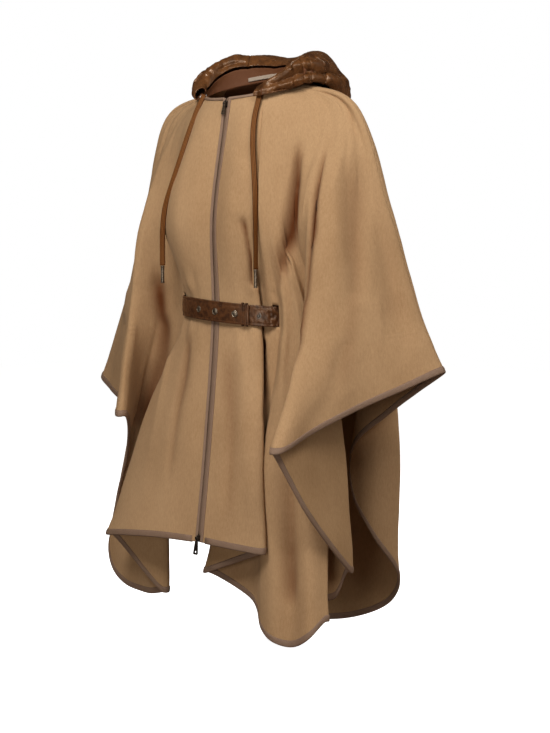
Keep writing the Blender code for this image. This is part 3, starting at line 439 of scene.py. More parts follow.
# gathers that the belt presses in: place along the waist, how far up, how far down, half width, depth
gathers = {
    "left": [
        (14, 30, 26, 4.0, 1.6), (31, 46, 34, 5.0, -2.2), (44, 28, 52, 3.6, 1.8), (62, 22, 30, 4.4, -2.0),
        (74, 52, 44, 5.5, 2.2), (92, 24, 26, 3.4, -1.6), (128, 40, 34, 5.2, -2.4), (146, 26, 44, 4.4, 1.8)],
    "right": [
        (12, 34, 40, 4.2, -1.8), (27, 24, 30, 3.6, 1.6), (41, 50, 36, 5.4, -2.4), (58, 28, 58, 4.4, 2.0),
        (70, 34, 26, 4.0, -1.8), (88, 56, 44, 5.8, 2.4), (104, 26, 30, 3.8, -1.8), (132, 38, 40, 5.2, 2.0)],
    "back": [
        (30, 46, 60, 8, -2.0), (58, 60, 50, 9, 2.2), (95, 40, 70, 7, -2.4), (121, 64, 44, 9, 2.0),
        (158, 50, 66, 8, -2.2), (196, 58, 48, 9, 2.0), (226, 44, 60, 7, -1.8), (262, 62, 52, 10, 2.2),
        (300, 48, 64, 8, -2.2), (338, 56, 50, 9, 1.8)],
}
unevenness = [(95, 280, 3.2), (42, 130, 1.3), (17, 44, 0.35)]  # width, length and height of the soft swells
settling = {
    "lightFold": 2.5, "deepFold": 12, "shadeBend": 1.1,  # how dark the painted shade in a fold gets with depth
    "paintedShadeFolds": {"pleatAbove": 1.25, "armFold": 1.2},
    "widthWaver": (0.3, 5.3), "heightWaver": (0.2, 7.1), "ends": 4.5, "sameWay": (0.2, 0.5),
    "neckFade": 70, "neckLeast": 0.05, "hemFade": 40, "hemLeast": 0.25,  # the relief dies away near the edges
    "zipClear": 12, "zipFade": 40, "zipLeast": 0.12, "sideColumns": 20,
    "beltClear": 19, "beltFade": 22, "beltLeast": 0.12, "beltHeight": 0.3, "beltSlope": 6,
    "gatherClear": 20, "gatherFlare": 90,
}


def foldShape(far, along, soft, ends):  # a smooth or sharp ridge that dies away at both ends
    across = soft * np.exp(-far ** 2) + (1 - soft) * np.exp(-far * 1.4)
    return across * ease(np.clip(np.minimum(along, 1 - along) * ends, 0, 1))


def crease(points, outs, fold, own, setup):
    depth, width, soft, route = fold
    places = [own[np.argmin(((points[own] - np.array(p) * mm) ** 2).sum(axis=1))] for p in route]
    line = spanCurves(points[places][None], [evenly(10)] * (len(places) - 1))[0]
    lineOut = unit(spanCurves(outs[places][None], [evenly(10)] * (len(places) - 1))[0])
    best = np.full(len(points), 1e9)
    which = np.zeros(len(points), int)
    for k, here in enumerate(line):
        away = ((points - here) ** 2).sum(axis=1)
        closer = away < best
        best[closer] = away[closer]
        which[closer] = k
    along = which / (len(line) - 1)
    swing, pace = setup["widthWaver"]
    width = width * (1 + swing * np.sin(along * pace + depth))
    swing, pace = setup["heightWaver"]
    height = 1 - swing + swing * np.cos(along * pace + width[0])
    least, span = setup["sameWay"]
    alike = np.clip(((outs * lineOut[which]).sum(axis=1) - least) / span, 0, 1)  # not through to another layer
    return foldShape(np.sqrt(best) / mm / width, along, soft, setup["ends"]) * alike * height


def swell(across, down, sizes):
    total = np.zeros(across.shape)
    for number, (wide, long, height) in enumerate(sizes):
        values = [noise.noise((u / wide, v / long, 7.3 * number + 1.7)) for u, v in zip(across.ravel(), down.ravel())]
        total += np.array(values).reshape(across.shape) * 2 * height
    return total


def layGathers(aroundWaist, fromWaist, setup):
    total = np.zeros(fromWaist.shape)
    columns = np.arange(fromWaist.shape[1])
    flare = 1 + abs(fromWaist) / setup["gatherFlare"]
    beyond = np.maximum(abs(fromWaist) - setup["gatherClear"], 0)
    for panel, table in gathers.items():
        first, last = panelSpans[panel]
        edge = {"left": aroundWaist[0], "right": aroundWaist[-1], "back": aroundWaist[first]}[panel]
        away = abs(aroundWaist - edge)
        inside = (columns >= first) & (columns <= last)
        for at, up, low, width, depth in table:
            reach = np.where(fromWaist > 0, up, low)
            total += inside * depth * np.exp(-((away - at) / (width * flare)) ** 2) * np.exp(-(beyond / reach) ** 2)
    return total


def calm(shift, across, down, fromWaist, setup):  # less relief near the neck, the hem and the zip, and under the belt
    toHem = np.clip((down[-1] - down) / setup["hemFade"], 0, 1)
    fade = np.clip(down / setup["neckFade"], setup["neckLeast"], 1)
    fade *= setup["hemLeast"] + (1 - setup["hemLeast"]) * toHem
    toZip = np.minimum(across - across[:, :1], across[:, -1:] - across)
    toZip = np.clip((toZip - setup["zipClear"]) / setup["zipFade"], 0, 1)
    fade *= setup["zipLeast"] + (1 - setup["zipLeast"]) * toZip
    held = np.clip((abs(fromWaist) - setup["beltClear"]) / setup["beltFade"], 0, 1)
    pressed = shift * (setup["beltLeast"] + (1 - setup["beltLeast"]) * held)
    under = np.where(held < 1, np.minimum(pressed, setup["beltHeight"] + setup["beltSlope"] * held), pressed)
    front = np.ones(shift.shape[1], bool)
    front[leftRidge - setup["sideColumns"]:rightRidge + setup["sideColumns"]] = False
    return np.where(front[None, :], under, shift) * fade


def layCreases(sheet, setup):
    outs = gridNormals(sheet)
    points, flatOuts = sheet.reshape(-1, 3), outs.reshape(-1, 3)
    index = np.arange(len(points)).reshape(sheet.shape[:2])
    shift = np.zeros(len(points))
    paintedFoldShade = np.zeros(len(points))
    for panel, table in creases.items():
        first, last = panelSpans[panel]
        own = index[:, first:last + 1].ravel()
        for name, fold in table.items():
            shape = crease(points, flatOuts, fold, own, setup)
            shift += fold[0] * shape
            # painted shade: the deeper a fold, the darker the wool is painted along it; some folds get their own weight
            deep = max(0, -fold[0] - setup["lightFold"]) / (setup["deepFold"] - setup["lightFold"])
            dark = setup["paintedShadeFolds"].get(name, min(1, deep))
            paintedFoldShade = np.maximum(paintedFoldShade, shape ** setup["shadeBend"] * dark)
    shift = shift.reshape(sheet.shape[:2])
    across, down = runLength(sheet, 1) / mm, runLength(sheet, 0) / mm
    waistRow = (slitRows[0] + slitRows[1]) // 2
    fromSpine = across[waistRow] - across[waistRow, (leftRidge + rightRidge) // 2]
    fromWaist = (sheet[..., 2] - sheet[waistRow, :, 2]) / mm
    shift += swell(np.broadcast_to(fromSpine, across.shape), down, unevenness)
    shift += layGathers(across[waistRow], fromWaist, setup)
    shift = calm(shift, across, down, fromWaist, setup)
    return sheet + outs * shift[..., None] * mm, paintedFoldShade.reshape(shift.shape)


# a channel for what lies on the cloth: how far it reaches, the gap left, its level half width, how its sides rise
channel = {"reach": 13, "gap": 0.35, "level": 5.5, "slope": 0.9, "deepest": 4, "ignore": -6}


def makeRoomFor(sheet, line, need, setup):
    outs = gridNormals(sheet)
    points, flatOuts = sheet.reshape(-1, 3), outs.reshape(-1, 3)
    for here in line:
        offset = here - points
        close = np.nonzero((offset ** 2).sum(axis=1) < (setup["reach"] * mm) ** 2)[0]
        if not len(close):
            continue
        height = (offset[close] * flatOuts[close]).sum(axis=1) / mm
        aside = np.sqrt(np.maximum((offset[close] ** 2).sum(axis=1) - (height * mm) ** 2, 0)) / mm
        want = need + setup["gap"] - np.maximum(aside - setup["level"], 0) * setup["slope"]
        push = np.where(height > setup["ignore"], np.maximum(want - height, 0), 0)
        points[close] -= flatOuts[close] * np.minimum(push, setup["deepest"])[:, None] * mm
    return sheet


# shader groups that several materials share
def newGroup(name, inputs, outputs):
    tree = bpy.data.node_groups.new(name, "ShaderNodeTree")
    for socket, kind, value in inputs:
        item = tree.interface.new_socket(name=socket, in_out="INPUT", socket_type="NodeSocket" + kind)
        if value is not None:
            item.default_value = value
    for socket, kind in outputs:
        tree.interface.new_socket(name=socket, in_out="OUTPUT", socket_type="NodeSocket" + kind)
    return tree, tree.nodes.new("NodeGroupInput").outputs, tree.nodes.new("NodeGroupOutput").inputs


def feed(tree, socket, value):  # a value, or another node's output
    if isinstance(value, bpy.types.NodeSocket):
        tree.links.new(value, socket)
    else:
        socket.default_value = value


def sums(tree, kind, a, b=0.5, clamp=False):
    node = tree.nodes.new("ShaderNodeMath")
    node.operation = kind
    node.use_clamp = clamp
    feed(tree, node.inputs[0], a)
    feed(tree, node.inputs[1], b)
    return node.outputs[0]


def plus(tree, a, b):
    return sums(tree, "ADD", a, b)


def times(tree, a, b):
    return sums(tree, "MULTIPLY", a, b)


def speckle(tree, vector, scale, detail=2.0, rough=0.5, stretch=(1, 1, 1)):
    mapping = tree.nodes.new("ShaderNodeMapping")
    mapping.inputs["Scale"].default_value = stretch
    feed(tree, mapping.inputs["Vector"], vector)
    node = tree.nodes.new("ShaderNodeTexNoise")
    feed(tree, node.inputs["Vector"], mapping.outputs[0])
    feed(tree, node.inputs["Scale"], scale)
    node.inputs["Detail"].default_value = detail
    node.inputs["Roughness"].default_value = rough
    return node.outputs["Fac"]


def spread(tree, value, low, high, toLow=0.0, toHigh=1.0):
    node = tree.nodes.new("ShaderNodeMapRange")
    feed(tree, node.inputs["Value"], value)
    for socket, number in (("From Min", low), ("From Max", high), ("To Min", toLow), ("To Max", toHigh)):
        feed(tree, node.inputs[socket], number)
    return node.outputs[0]


def blendColours(tree, factor, first, second, kind="MIX"):
    node = tree.nodes.new("ShaderNodeMix")
    node.data_type = "RGBA"
    node.blend_type = kind
    feed(tree, node.inputs["Factor"], factor)
    feed(tree, node.inputs["A"], first)
    feed(tree, node.inputs["B"], second)
    return node.outputs["Result"]


def makeNap():  # brushed fibre: fine flecks, short strokes that run down, slow drift in tone
    inputs = [("Vector", "Vector", None), ("Dark", "Color", None), ("Light", "Color", None), ("Fleck", "Float", 1100.0)]
    tree, given, out = newGroup("brushedNap", inputs, [("Color", "Color"), ("Height", "Float")])
    fleck = speckle(tree, given["Vector"], given["Fleck"], 2.0, 0.6)
    stroke = speckle(tree, given["Vector"], 420.0, 3.0, 0.55, (1, 1, 0.28))
    drift = speckle(tree, given["Vector"], 7.0, 3.0, 0.5, (1, 1, 0.6))
    nap = plus(tree, times(tree, fleck, 0.45), times(tree, stroke, 0.55))
    tone = plus(tree, times(tree, nap, 0.6), times(tree, drift, 0.4))
    feed(tree, out["Color"], blendColours(tree, spread(tree, tone, 0.36, 0.64), given["Dark"], given["Light"]))
    feed(tree, out["Height"], nap)
    return tree


def makeWeave():  # threads that cross: two sets of bands, one over the other in turn
    inputs = [("Vector", "Vector", None), ("Warp", "Float", 520.0), ("Weft", "Float", 520.0), ("Slant", "Float", 0.0)]
    tree, given, out = newGroup("crossedThreads", inputs, [("Height", "Float"), ("Mask", "Float")])
    split = tree.nodes.new("ShaderNodeSeparateXYZ")
    feed(tree, split.inputs[0], given["Vector"])
    along = plus(tree, split.outputs[0], times(tree, split.outputs[1], given["Slant"]))
    warp = sums(tree, "SINE", times(tree, along, times(tree, given["Warp"], 20.0)))
    weft = sums(tree, "SINE", times(tree, split.outputs[1], times(tree, given["Weft"], 20.0)))
    both = plus(tree, sums(tree, "ABSOLUTE", warp), sums(tree, "ABSOLUTE", weft))
    feed(tree, out["Height"], spread(tree, both, 0.0, 2.0))
    feed(tree, out["Mask"], spread(tree, times(tree, warp, weft), -0.6, 0.6))
    return tree


def makeCrumpleAndGlint():  # the small sharp creases of thin coated cloth, with a painted highlight along their crests
    inputs = [("Vector", "Vector", None), ("Size", "Float", 55.0)]
    tree, given, out = newGroup("crumpledFoilGlint", inputs, [("Height", "Float"), ("Mask", "Float")])
    wide = speckle(tree, given["Vector"], given["Size"], 3.0, 0.45)
    fine = speckle(tree, given["Vector"], times(tree, given["Size"], 2.7), 2.0, 0.5, (1, 1, 0.7))
    ridge = sums(tree, "ABSOLUTE", sums(tree, "SUBTRACT", wide, 0.5))
    small = sums(tree, "ABSOLUTE", sums(tree, "SUBTRACT", fine, 0.5))
    height = sums(tree, "SUBTRACT", 1.0, plus(tree, times(tree, ridge, 2.6), times(tree, small, 0.9)))
    feed(tree, out["Height"], height)
    # painted highlight: the mask marks the crease crests, which the material paints lighter
    feed(tree, out["Mask"], spread(tree, height, 0.5, 0.95))
    return tree


def makeRub():  # worn and dusty places: uneven patches with a fine break-up
    inputs = [("Vector", "Vector", None), ("Size", "Float", 60.0), ("Amount", "Float", 0.5)]
    tree, given, out = newGroup("rubbedPatches", inputs, [("Mask", "Float")])
    patch = speckle(tree, given["Vector"], given["Size"], 4.0, 0.6)
    broken = speckle(tree, given["Vector"], times(tree, given["Size"], 9.0), 2.0, 0.6)
    both = plus(tree, times(tree, patch, 0.65), times(tree, broken, 0.35))
    feed(tree, out["Mask"], times(tree, spread(tree, both, 0.45, 0.68), given["Amount"]))
    return tree


nap, weave, crumpleAndGlint, rub = makeNap(), makeWeave(), makeCrumpleAndGlint(), makeRub()


def startMaterial(name, roughness, metallic=0.0):
    material = bpy.data.materials.new(name)
    material.use_nodes = True
    tree = material.node_tree
    shader = tree.nodes["Principled BSDF"]
    shader.inputs["Roughness"].default_value = roughness
    shader.inputs["Metallic"].default_value = metallic
    place = tree.nodes.new("ShaderNodeTexCoord")
    return material, tree, shader, place


def useGroup(tree, group, **values):
    node = tree.nodes.new("ShaderNodeGroup")
    node.node_tree = group
    for socket, value in values.items():
        feed(tree, node.inputs[socket], value)
    return node.outputs


def raiseBump(tree, shader, height, strength, distance):
    bump = tree.nodes.new("ShaderNodeBump")
    bump.inputs["Strength"].default_value = strength
    bump.inputs["Distance"].default_value = distance
    tree.links.new(height, bump.inputs["Height"])
    tree.links.new(bump.outputs["Normal"], shader.inputs["Normal"])


finish = {  # dark and light tone of each
    "wool": ((0.376, 0.229, 0.116), (0.502, 0.327, 0.180)),
    "woolInside": ((0.368, 0.222, 0.108), (0.492, 0.316, 0.168)),
    "tape": ((0.235, 0.150, 0.100), (0.335, 0.228, 0.160)), "paleTape": ((0.36, 0.28, 0.21), (0.48, 0.39, 0.31)),
    "nylon": ((0.070, 0.027, 0.009), (0.165, 0.070, 0.024)), "strap": ((0.050, 0.019, 0.008), (0.120, 0.050, 0.020)),
    "lining": ((0.125, 0.044, 0.015), (0.185, 0.074, 0.028)), "cord": ((0.062, 0.021, 0.005), (0.238, 0.092, 0.024)),
    "metal": ((0.105, 0.088, 0.072), (0.260, 0.222, 0.185)),
    "agedMetal": ((0.190, 0.150, 0.110), (0.500, 0.410, 0.310)),
    "thread": ((0.100, 0.048, 0.022), (0.170, 0.088, 0.045)),
}


def tones(name):
    return [(*colour, 1) for colour in finish[name]]


# painted shade: the dark brown multiplied into the wool where it lies deep in a fold
paintedFoldShadeColour = (0.30, 0.150, 0.075, 1)


def woolMaterial(name, colours, fleck):
    material, tree, shader, place = startMaterial(name, 0.92)
    dark, light = tones(colours)
    cloth = useGroup(tree, nap, Vector=place.outputs["Object"], Dark=dark, Light=light, Fleck=fleck)
    worn = useGroup(tree, rub, Vector=place.outputs["Object"], Size=16.0, Amount=0.25)
    deep = tree.nodes.new("ShaderNodeAttribute")  # painted shade: how dark the wool is painted where it lies in a fold
    deep.attribute_name = "paintedFoldShade"
    pressed = blendColours(tree, worn["Mask"], cloth["Color"], light)
    # painted shade: the wool multiplied by a dark brown, blended in by the fold shade
    shaded = blendColours(tree, 1.0, pressed, paintedFoldShadeColour, "MULTIPLY")
    shadeAmount = sums(tree, "MULTIPLY", deep.outputs["Fac"], 1.1, True)
    tree.links.new(blendColours(tree, shadeAmount, pressed, shaded), shader.inputs["Base Color"])
    tree.links.new(spread(tree, cloth["Height"], 0.3, 0.7, 0.86, 0.98), shader.inputs["Roughness"])
    raiseBump(tree, shader, cloth["Height"], 0.35, 0.0006)
    shader.inputs["Sheen Weight"].default_value = 0.07
    shader.inputs["Sheen Tint"].default_value = (1.0, 0.82, 0.60, 1)
    shader.inputs["Sheen Roughness"].default_value = 0.5
    shader.inputs["Specular IOR Level"].default_value = 0.18
    return material


def tapeMaterial(name, colours, warp, slant, roughness, speckled=0.3):
    material, tree, shader, place = startMaterial(name, roughness)
    dark, light = tones(colours)
    threads = useGroup(tree, weave, Vector=place.outputs["UV"], Warp=warp, Weft=warp * 0.8, Slant=slant)
    worn = useGroup(tree, rub, Vector=place.outputs["Object"], Size=70.0, Amount=speckled)
    base = blendColours(tree, times(tree, threads["Mask"], 0.7), dark, light)
    tree.links.new(blendColours(tree, worn["Mask"], base, light), shader.inputs["Base Color"])
    shine = spread(tree, threads["Height"], 0.0, 1.0, roughness - 0.08, roughness + 0.08)
    tree.links.new(shine, shader.inputs["Roughness"])
    raiseBump(tree, shader, threads["Height"], 0.4, 0.0003)
    shader.inputs["Specular IOR Level"].default_value = 0.25
    return material


def nylonMaterial(name, colours, size, roughness, lift):
    material, tree, shader, place = startMaterial(name, roughness)
    dark, light = tones(colours)
    folds = useGroup(tree, crumpleAndGlint, Vector=place.outputs["Object"], Size=size)
    threads = useGroup(tree, weave, Vector=place.outputs["UV"], Warp=900.0, Weft=900.0, Slant=0.0)
    worn = useGroup(tree, rub, Vector=place.outputs["Object"], Size=40.0, Amount=0.35)
    # painted highlight: the crease crests take the light tone
    base = blendColours(tree, folds["Mask"], dark, light)
    tree.links.new(blendColours(tree, worn["Mask"], base, light), shader.inputs["Base Color"])
    shine = spread(tree, folds["Mask"], 0.0, 1.0, roughness + 0.1, roughness - 0.05)
    tree.links.new(shine, shader.inputs["Roughness"])
    height = plus(tree, folds["Height"], times(tree, threads["Height"], 0.05))
    raiseBump(tree, shader, height, 0.55, lift)
    shader.inputs["Specular Tint"].default_value = (1.0, 0.80, 0.60, 1)
    shader.inputs["Coat Weight"].default_value = 0.12
    shader.inputs["Coat Tint"].default_value = (1.0, 0.86, 0.70, 1)
    shader.inputs["Coat Roughness"].default_value = 0.22
    return material


def cordMaterial(name, colours):  # a flat braid: two slants of thread, with painted shade along the edges where they turn under
    material, tree, shader, place = startMaterial(name, 0.5)
    dark, light = tones(colours)
    right = useGroup(tree, weave, Vector=place.outputs["UV"], Warp=170.0, Weft=60.0, Slant=1.1)
    left = useGroup(tree, weave, Vector=place.outputs["UV"], Warp=170.0, Weft=60.0, Slant=-1.1)
    braid = times(tree, right["Height"], left["Height"])
    across = tree.nodes.new("ShaderNodeAttribute")
    across.attribute_name = "across"
    # painted shade: the edges of the braid are darkened where they turn under
    edge = spread(tree, sums(tree, "ABSOLUTE", across.outputs["Fac"]), 0.62, 0.95)
    base = blendColours(tree, spread(tree, braid, 0.1, 0.6), dark, light)
    tree.links.new(blendColours(tree, times(tree, edge, 0.85), base, dark), shader.inputs["Base Color"])
    tree.links.new(spread(tree, braid, 0.0, 0.8, 0.58, 0.4), shader.inputs["Roughness"])
    raiseBump(tree, shader, braid, 0.5, 0.0004)
    shader.inputs["Specular IOR Level"].default_value = 0.2
    shader.inputs["Specular Tint"].default_value = (1.0, 0.80, 0.58, 1)
    return material


def metalMaterial(name, colours, roughness):
    material, tree, shader, place = startMaterial(name, roughness, 1.0)
    dark, light = tones(colours)
    worn = useGroup(tree, rub, Vector=place.outputs["Object"], Size=260.0, Amount=0.8)
    brushed = speckle(tree, place.outputs["Object"], 1500.0, 2.0, 0.5, (1, 1, 0.08))
    tree.links.new(blendColours(tree, worn["Mask"], dark, light), shader.inputs["Base Color"])
    shine = spread(tree, plus(tree, worn["Mask"], brushed), 0.2, 1.4, roughness - 0.06, roughness + 0.16)
    tree.links.new(shine, shader.inputs["Roughness"])
    raiseBump(tree, shader, brushed, 0.12, 0.0001)
    return material


woolCloth = woolMaterial("camelWool", "wool", 1100.0)
woolInside = woolMaterial("camelWoolInside", "woolInside", 900.0)
boundTape = tapeMaterial("taupeTape", "tape", 330.0, 0.6, 0.55)
paleTape = tapeMaterial("paleNeckTape", "paleTape", 300.0, 0.0, 0.7)
liningCloth = tapeMaterial("brownLining", "lining", 500.0, 0.35, 0.6, 0.2)
hoodLining = tapeMaterial("smoothLining", "lining", 900.0, 0.0, 0.55, 0.15)
glossNylon = nylonMaterial("lacqueredNylon", "nylon", 30.0, 0.27, 0.0017)
strapNylon = nylonMaterial("strapNylon", "strap", 70.0, 0.34, 0.0009)
cordBraid = cordMaterial("flatBraid", "cord")
darkMetal = metalMaterial("gunMetal", "metal", 0.34)
agedMetal = metalMaterial("agedBrass", "agedMetal", 0.42)
sewingThread = tapeMaterial("sewingThread", "thread", 900.0, 1.0, 0.5, 0.1)
print("materials done")


grid, foldShade = layCreases(grid, settling)
normals = gridNormals(grid)
print("creases laid,", sum(len(table) for table in creases.values()), "by hand")


def rideAlong(obj, body="cape"):
    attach(obj, body)
    return obj


def settle(obj, node, body="cape"):  # the piece stands for its solid and moves with the body
    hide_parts(node)
    return rideAlong(obj, body)


# what repeats along a path: one small piece on points spaced along a curve
def bead(name, size, segments, rings):  # a low rounded piece, long side on X
    mesh = bpy.data.meshes.new(name)
    work = bmesh.new()
    bmesh.ops.create_uvsphere(work, u_segments=segments, v_segments=rings, radius=0.5)
    for vert in work.verts:
        vert.co = Vector((vert.co.z * size[0], vert.co.y * size[1], vert.co.x * size[2]))
    bmesh.ops.recalc_face_normals(work, faces=work.faces)
    work.to_mesh(mesh)
    work.free()
    return newObject(name, mesh)


def repeatTree():
    tree = bpy.data.node_groups.new("repeatAlongPath", "GeometryNodeTree")
    tree.interface.new_socket(name="Geometry", in_out="INPUT", socket_type="NodeSocketGeometry")
    for socket, kind in (("Spacing", "Float"), ("Unevenness", "Float"), ("Seed", "Int"),
                         ("Piece", "Object"), ("Finish", "Material")):
        tree.interface.new_socket(name=socket, in_out="INPUT", socket_type="NodeSocket" + kind)
    tree.interface.new_socket(name="Geometry", in_out="OUTPUT", socket_type="NodeSocketGeometry")
    given = tree.nodes.new("NodeGroupInput").outputs
    out = tree.nodes.new("NodeGroupOutput").inputs
    evenlySpaced = tree.nodes.new("GeometryNodeResampleCurve")
    evenlySpaced.mode = "LENGTH"
    tree.links.new(given["Geometry"], evenlySpaced.inputs["Curve"])
    tree.links.new(given["Spacing"], evenlySpaced.inputs["Length"])
    way = tree.nodes.new("GeometryNodeInputTangent")
    turn = tree.nodes.new("FunctionNodeAlignRotationToVector")
    turn.axis = "X"
    tree.links.new(way.outputs[0], turn.inputs["Vector"])
    smallest = tree.nodes.new("ShaderNodeMath")
    smallest.operation = "SUBTRACT"
    smallest.inputs[0].default_value = 1.0
    tree.links.new(given["Unevenness"], smallest.inputs[1])
    vary = tree.nodes.new("FunctionNodeRandomValue")
    vary.data_type = "FLOAT"
    tree.links.new(smallest.outputs[0], vary.inputs[2])
    vary.inputs[3].default_value = 1.0
    tree.links.new(given["Seed"], vary.inputs["Seed"])
    info = tree.nodes.new("GeometryNodeObjectInfo")
    info.transform_space = "ORIGINAL"
    tree.links.new(given["Piece"], info.inputs["Object"])
    place = tree.nodes.new("GeometryNodeInstanceOnPoints")
    tree.links.new(evenlySpaced.outputs[0], place.inputs["Points"])
    tree.links.new(info.outputs["Geometry"], place.inputs["Instance"])
    tree.links.new(turn.outputs[0], place.inputs["Rotation"])
    tree.links.new(vary.outputs[1], place.inputs["Scale"])
    real = tree.nodes.new("GeometryNodeRealizeInstances")
    tree.links.new(place.outputs[0], real.inputs[0])
    coat = tree.nodes.new("GeometryNodeSetMaterial")
    tree.links.new(real.outputs[0], coat.inputs["Geometry"])
    tree.links.new(given["Finish"], coat.inputs["Material"])
    tree.links.new(coat.outputs[0], out["Geometry"])
    return tree


alongPath = repeatTree()


def repeatOn(name, lines, piece, spacing, material, unevenness=0.0, seed=4):
    curve = bpy.data.curves.new(name + "_path", "CURVE")
    curve.dimensions = "3D"
    for line in lines:
        spline = curve.splines.new("POLY")
        spline.points.add(len(line) - 1)
        spline.points.foreach_set("co", np.hstack([line, np.ones((len(line), 1))]).astype(np.float32).ravel())
    host = newObject(name + "_path", curve)
    live = host.modifiers.new("repeat", "NODES")
    live.node_group = alongPath
    sockets = {item.name: item.identifier for item in alongPath.interface.items_tree if item.in_out == "INPUT"}
    values = {"Spacing": spacing, "Unevenness": unevenness, "Seed": seed, "Piece": piece, "Finish": material}
    for socket, value in values.items():
        live[sockets[socket]] = value
    graph = bpy.context.evaluated_depsgraph_get()
    mesh = bpy.data.meshes.new_from_object(host.evaluated_get(graph), depsgraph=graph)
    bpy.data.objects.remove(host, do_unlink=True)
    bpy.data.objects.remove(piece, do_unlink=True)
    mesh.name = name
    mesh.polygons.foreach_set("use_smooth", np.ones(len(mesh.polygons), bool))
    return newObject(name, mesh)


stitch = {"length": 2.1, "thick": 0.42, "spacing": 0.0029, "unevenness": 0.12}


def sewLine(name, lines, setup=stitch):
    piece = bead(name + "_thread", (setup["length"] * mm, setup["thick"] * mm, setup["thick"] * mm), 6, 4)
    seam = repeatOn(name, lines, piece, setup["spacing"], sewingThread, setup["unevenness"])
    return rideAlong(seam)


# the three wool panels
def makePanels(grid, form):
    uv = clothUv(grid)
    made = {}
    for name, (first, last), slit in (("front_left", panelSpans["left"], lineColumns[4:6]),
                                      ("back", panelSpans["back"], None),
                                      ("front_right", panelSpans["right"], lineColumns[-7:-5])):
        part = grid[:, first:last + 1].copy()
        part[:, 0] += unit(part[:, 1] - part[:, 0]) * form["seamGap"] * mm
        part[:, -1] += unit(part[:, -2] - part[:, -1]) * form["seamGap"] * mm
        leftOut = np.zeros((part.shape[0] - 1, part.shape[1] - 1), bool)
        if slit:
            a, b = sorted(slit)
            a, b = (a, b - 1) if first == 0 else (a + 1, b)  # the strap fills the slit, its outer side stays closed
            leftOut[slitRows[0]:slitRows[1], a - first:b - first] = True
        obj = gridMesh("cloth_" + name, part, uv[:, first:last + 1], woolCloth, leftOut, foldShade[:, first:last + 1])
        thicken(obj, form["wall"] * mm, woolInside)
        made[name] = settle(obj, name)
    return made


# the binding round the outer edge
binding = {
    "lifts": (0.45, 0.95, 1.05, 0.9, 0.7, 0.4), "wall": 0.7, "turn": 1.1, "bend": 0.25, "bendHalf": 0.75,
    "shares": (0.6, 0.12), "frontTurn": (5.2, 2.8),
    "clear": ((-52, 11), (-800, 9)), "clearRise": 2.5,  # the front edges part only at the two sliders
    "stitchUp": 0.15, "stitchIn": 1.1, "stitchShare": 0.85,
}


def foldedTape(name, band, bandNormals, setup, wall, share=1.0, turn=None):  # band: rows from 10 mm in out to the edge
    count = len(band)
    if share < 1:
        at = np.linspace((1 - share) * (count - 1), count - 1, count)
        band, bandNormals = between(band, at), unit(between(bandNormals, at))
    half = wall / 2
    turn = np.full((band.shape[1], 1), setup["turn"]) if turn is None else turn[:, None]
    edge = band[-1]
    out = unit(band[-1] - band[-2])
    rows = [band[k] + bandNormals[k] * (half + setup["lifts"][k]) * mm for k in range(count)]
    corner, aside = edge + out * (turn - setup["bend"]) * mm, bandNormals[-1] * half * setup["bendHalf"] * mm
    rows += [corner + aside, edge + out * turn * mm, corner - aside]
    rows += [band[k] - bandNormals[k] * (half + setup["lifts"][k]) * mm for k in range(count - 1, -1, -1)]
    strip = np.stack(rows)
    return thicken(gridMesh(name, strip, clothUv(strip), boundTape), setup["wall"] * mm)


def makeBindings(grid, normals, form, setup):
    last = grid.shape[1] - 1
    made = {}
    for name, first, end in (("binding_hem_left", 4, leftRidge), ("binding_hem_back", leftRidge, rightRidge),
                             ("binding_hem_right", rightRidge, last - 4)):
        band, bandNormals = grid[-6:, first:end + 1].copy(), normals[-6:, first:end + 1]
        for side, other in ((0, 1), (-1, -2)):
            band[:, side] += unit(band[:, other] - band[:, side]) * form["seamGap"] * mm
        made[name] = settle(foldedTape("tape_" + name, band, bandNormals, setup, form["wall"]), name)
    for name, columns, share, reach in (
            ("binding_front_left", (4, 3, 2, 1, 0), setup["shares"][0], setup["frontTurn"][0]),
            ("binding_front_right", [last - k for k in (4, 3, 2, 1, 0)], setup["shares"][1], setup["frontTurn"][1])):
        band = grid[:, columns].transpose(1, 0, 2)
        bandNormals = normals[:, columns].transpose(1, 0, 2)
        at = np.linspace(0, 4, 6)
        band, bandNormals = between(band, at), unit(between(bandNormals, at))
        height = band[-1, :, 2] / mm
        near = [np.clip((1.0 - abs(height - z) / half) * setup["clearRise"], 0, 1) for z, half in setup["clear"]]
        turn = reach + (setup["turn"] - reach) * np.max(near, axis=0)
        made[name] = settle(foldedTape("tape_" + name, band, bandNormals, setup, form["wall"], share, turn), name)
    lift = form["wall"] / 2 + setup["lifts"][0] + setup["wall"] / 2 + setup["stitchUp"]
    lines = []
    hem, hemNormals = grid[-6, 4:last - 3], normals[-6, 4:last - 3]
    hem = hem + unit(grid[-1, 4:last - 3] - hem) * setup["stitchIn"] * mm
    share = setup["shares"][0] * setup["stitchShare"]
    front = grid[:, 0] * (1 - share) + grid[:, 4] * share
    for face in (1, -1):
        lines += [hem + hemNormals * face * lift * mm, front + normals[:, 2] * face * lift * mm]
    sewLine("stitches_binding", lines)
    return made


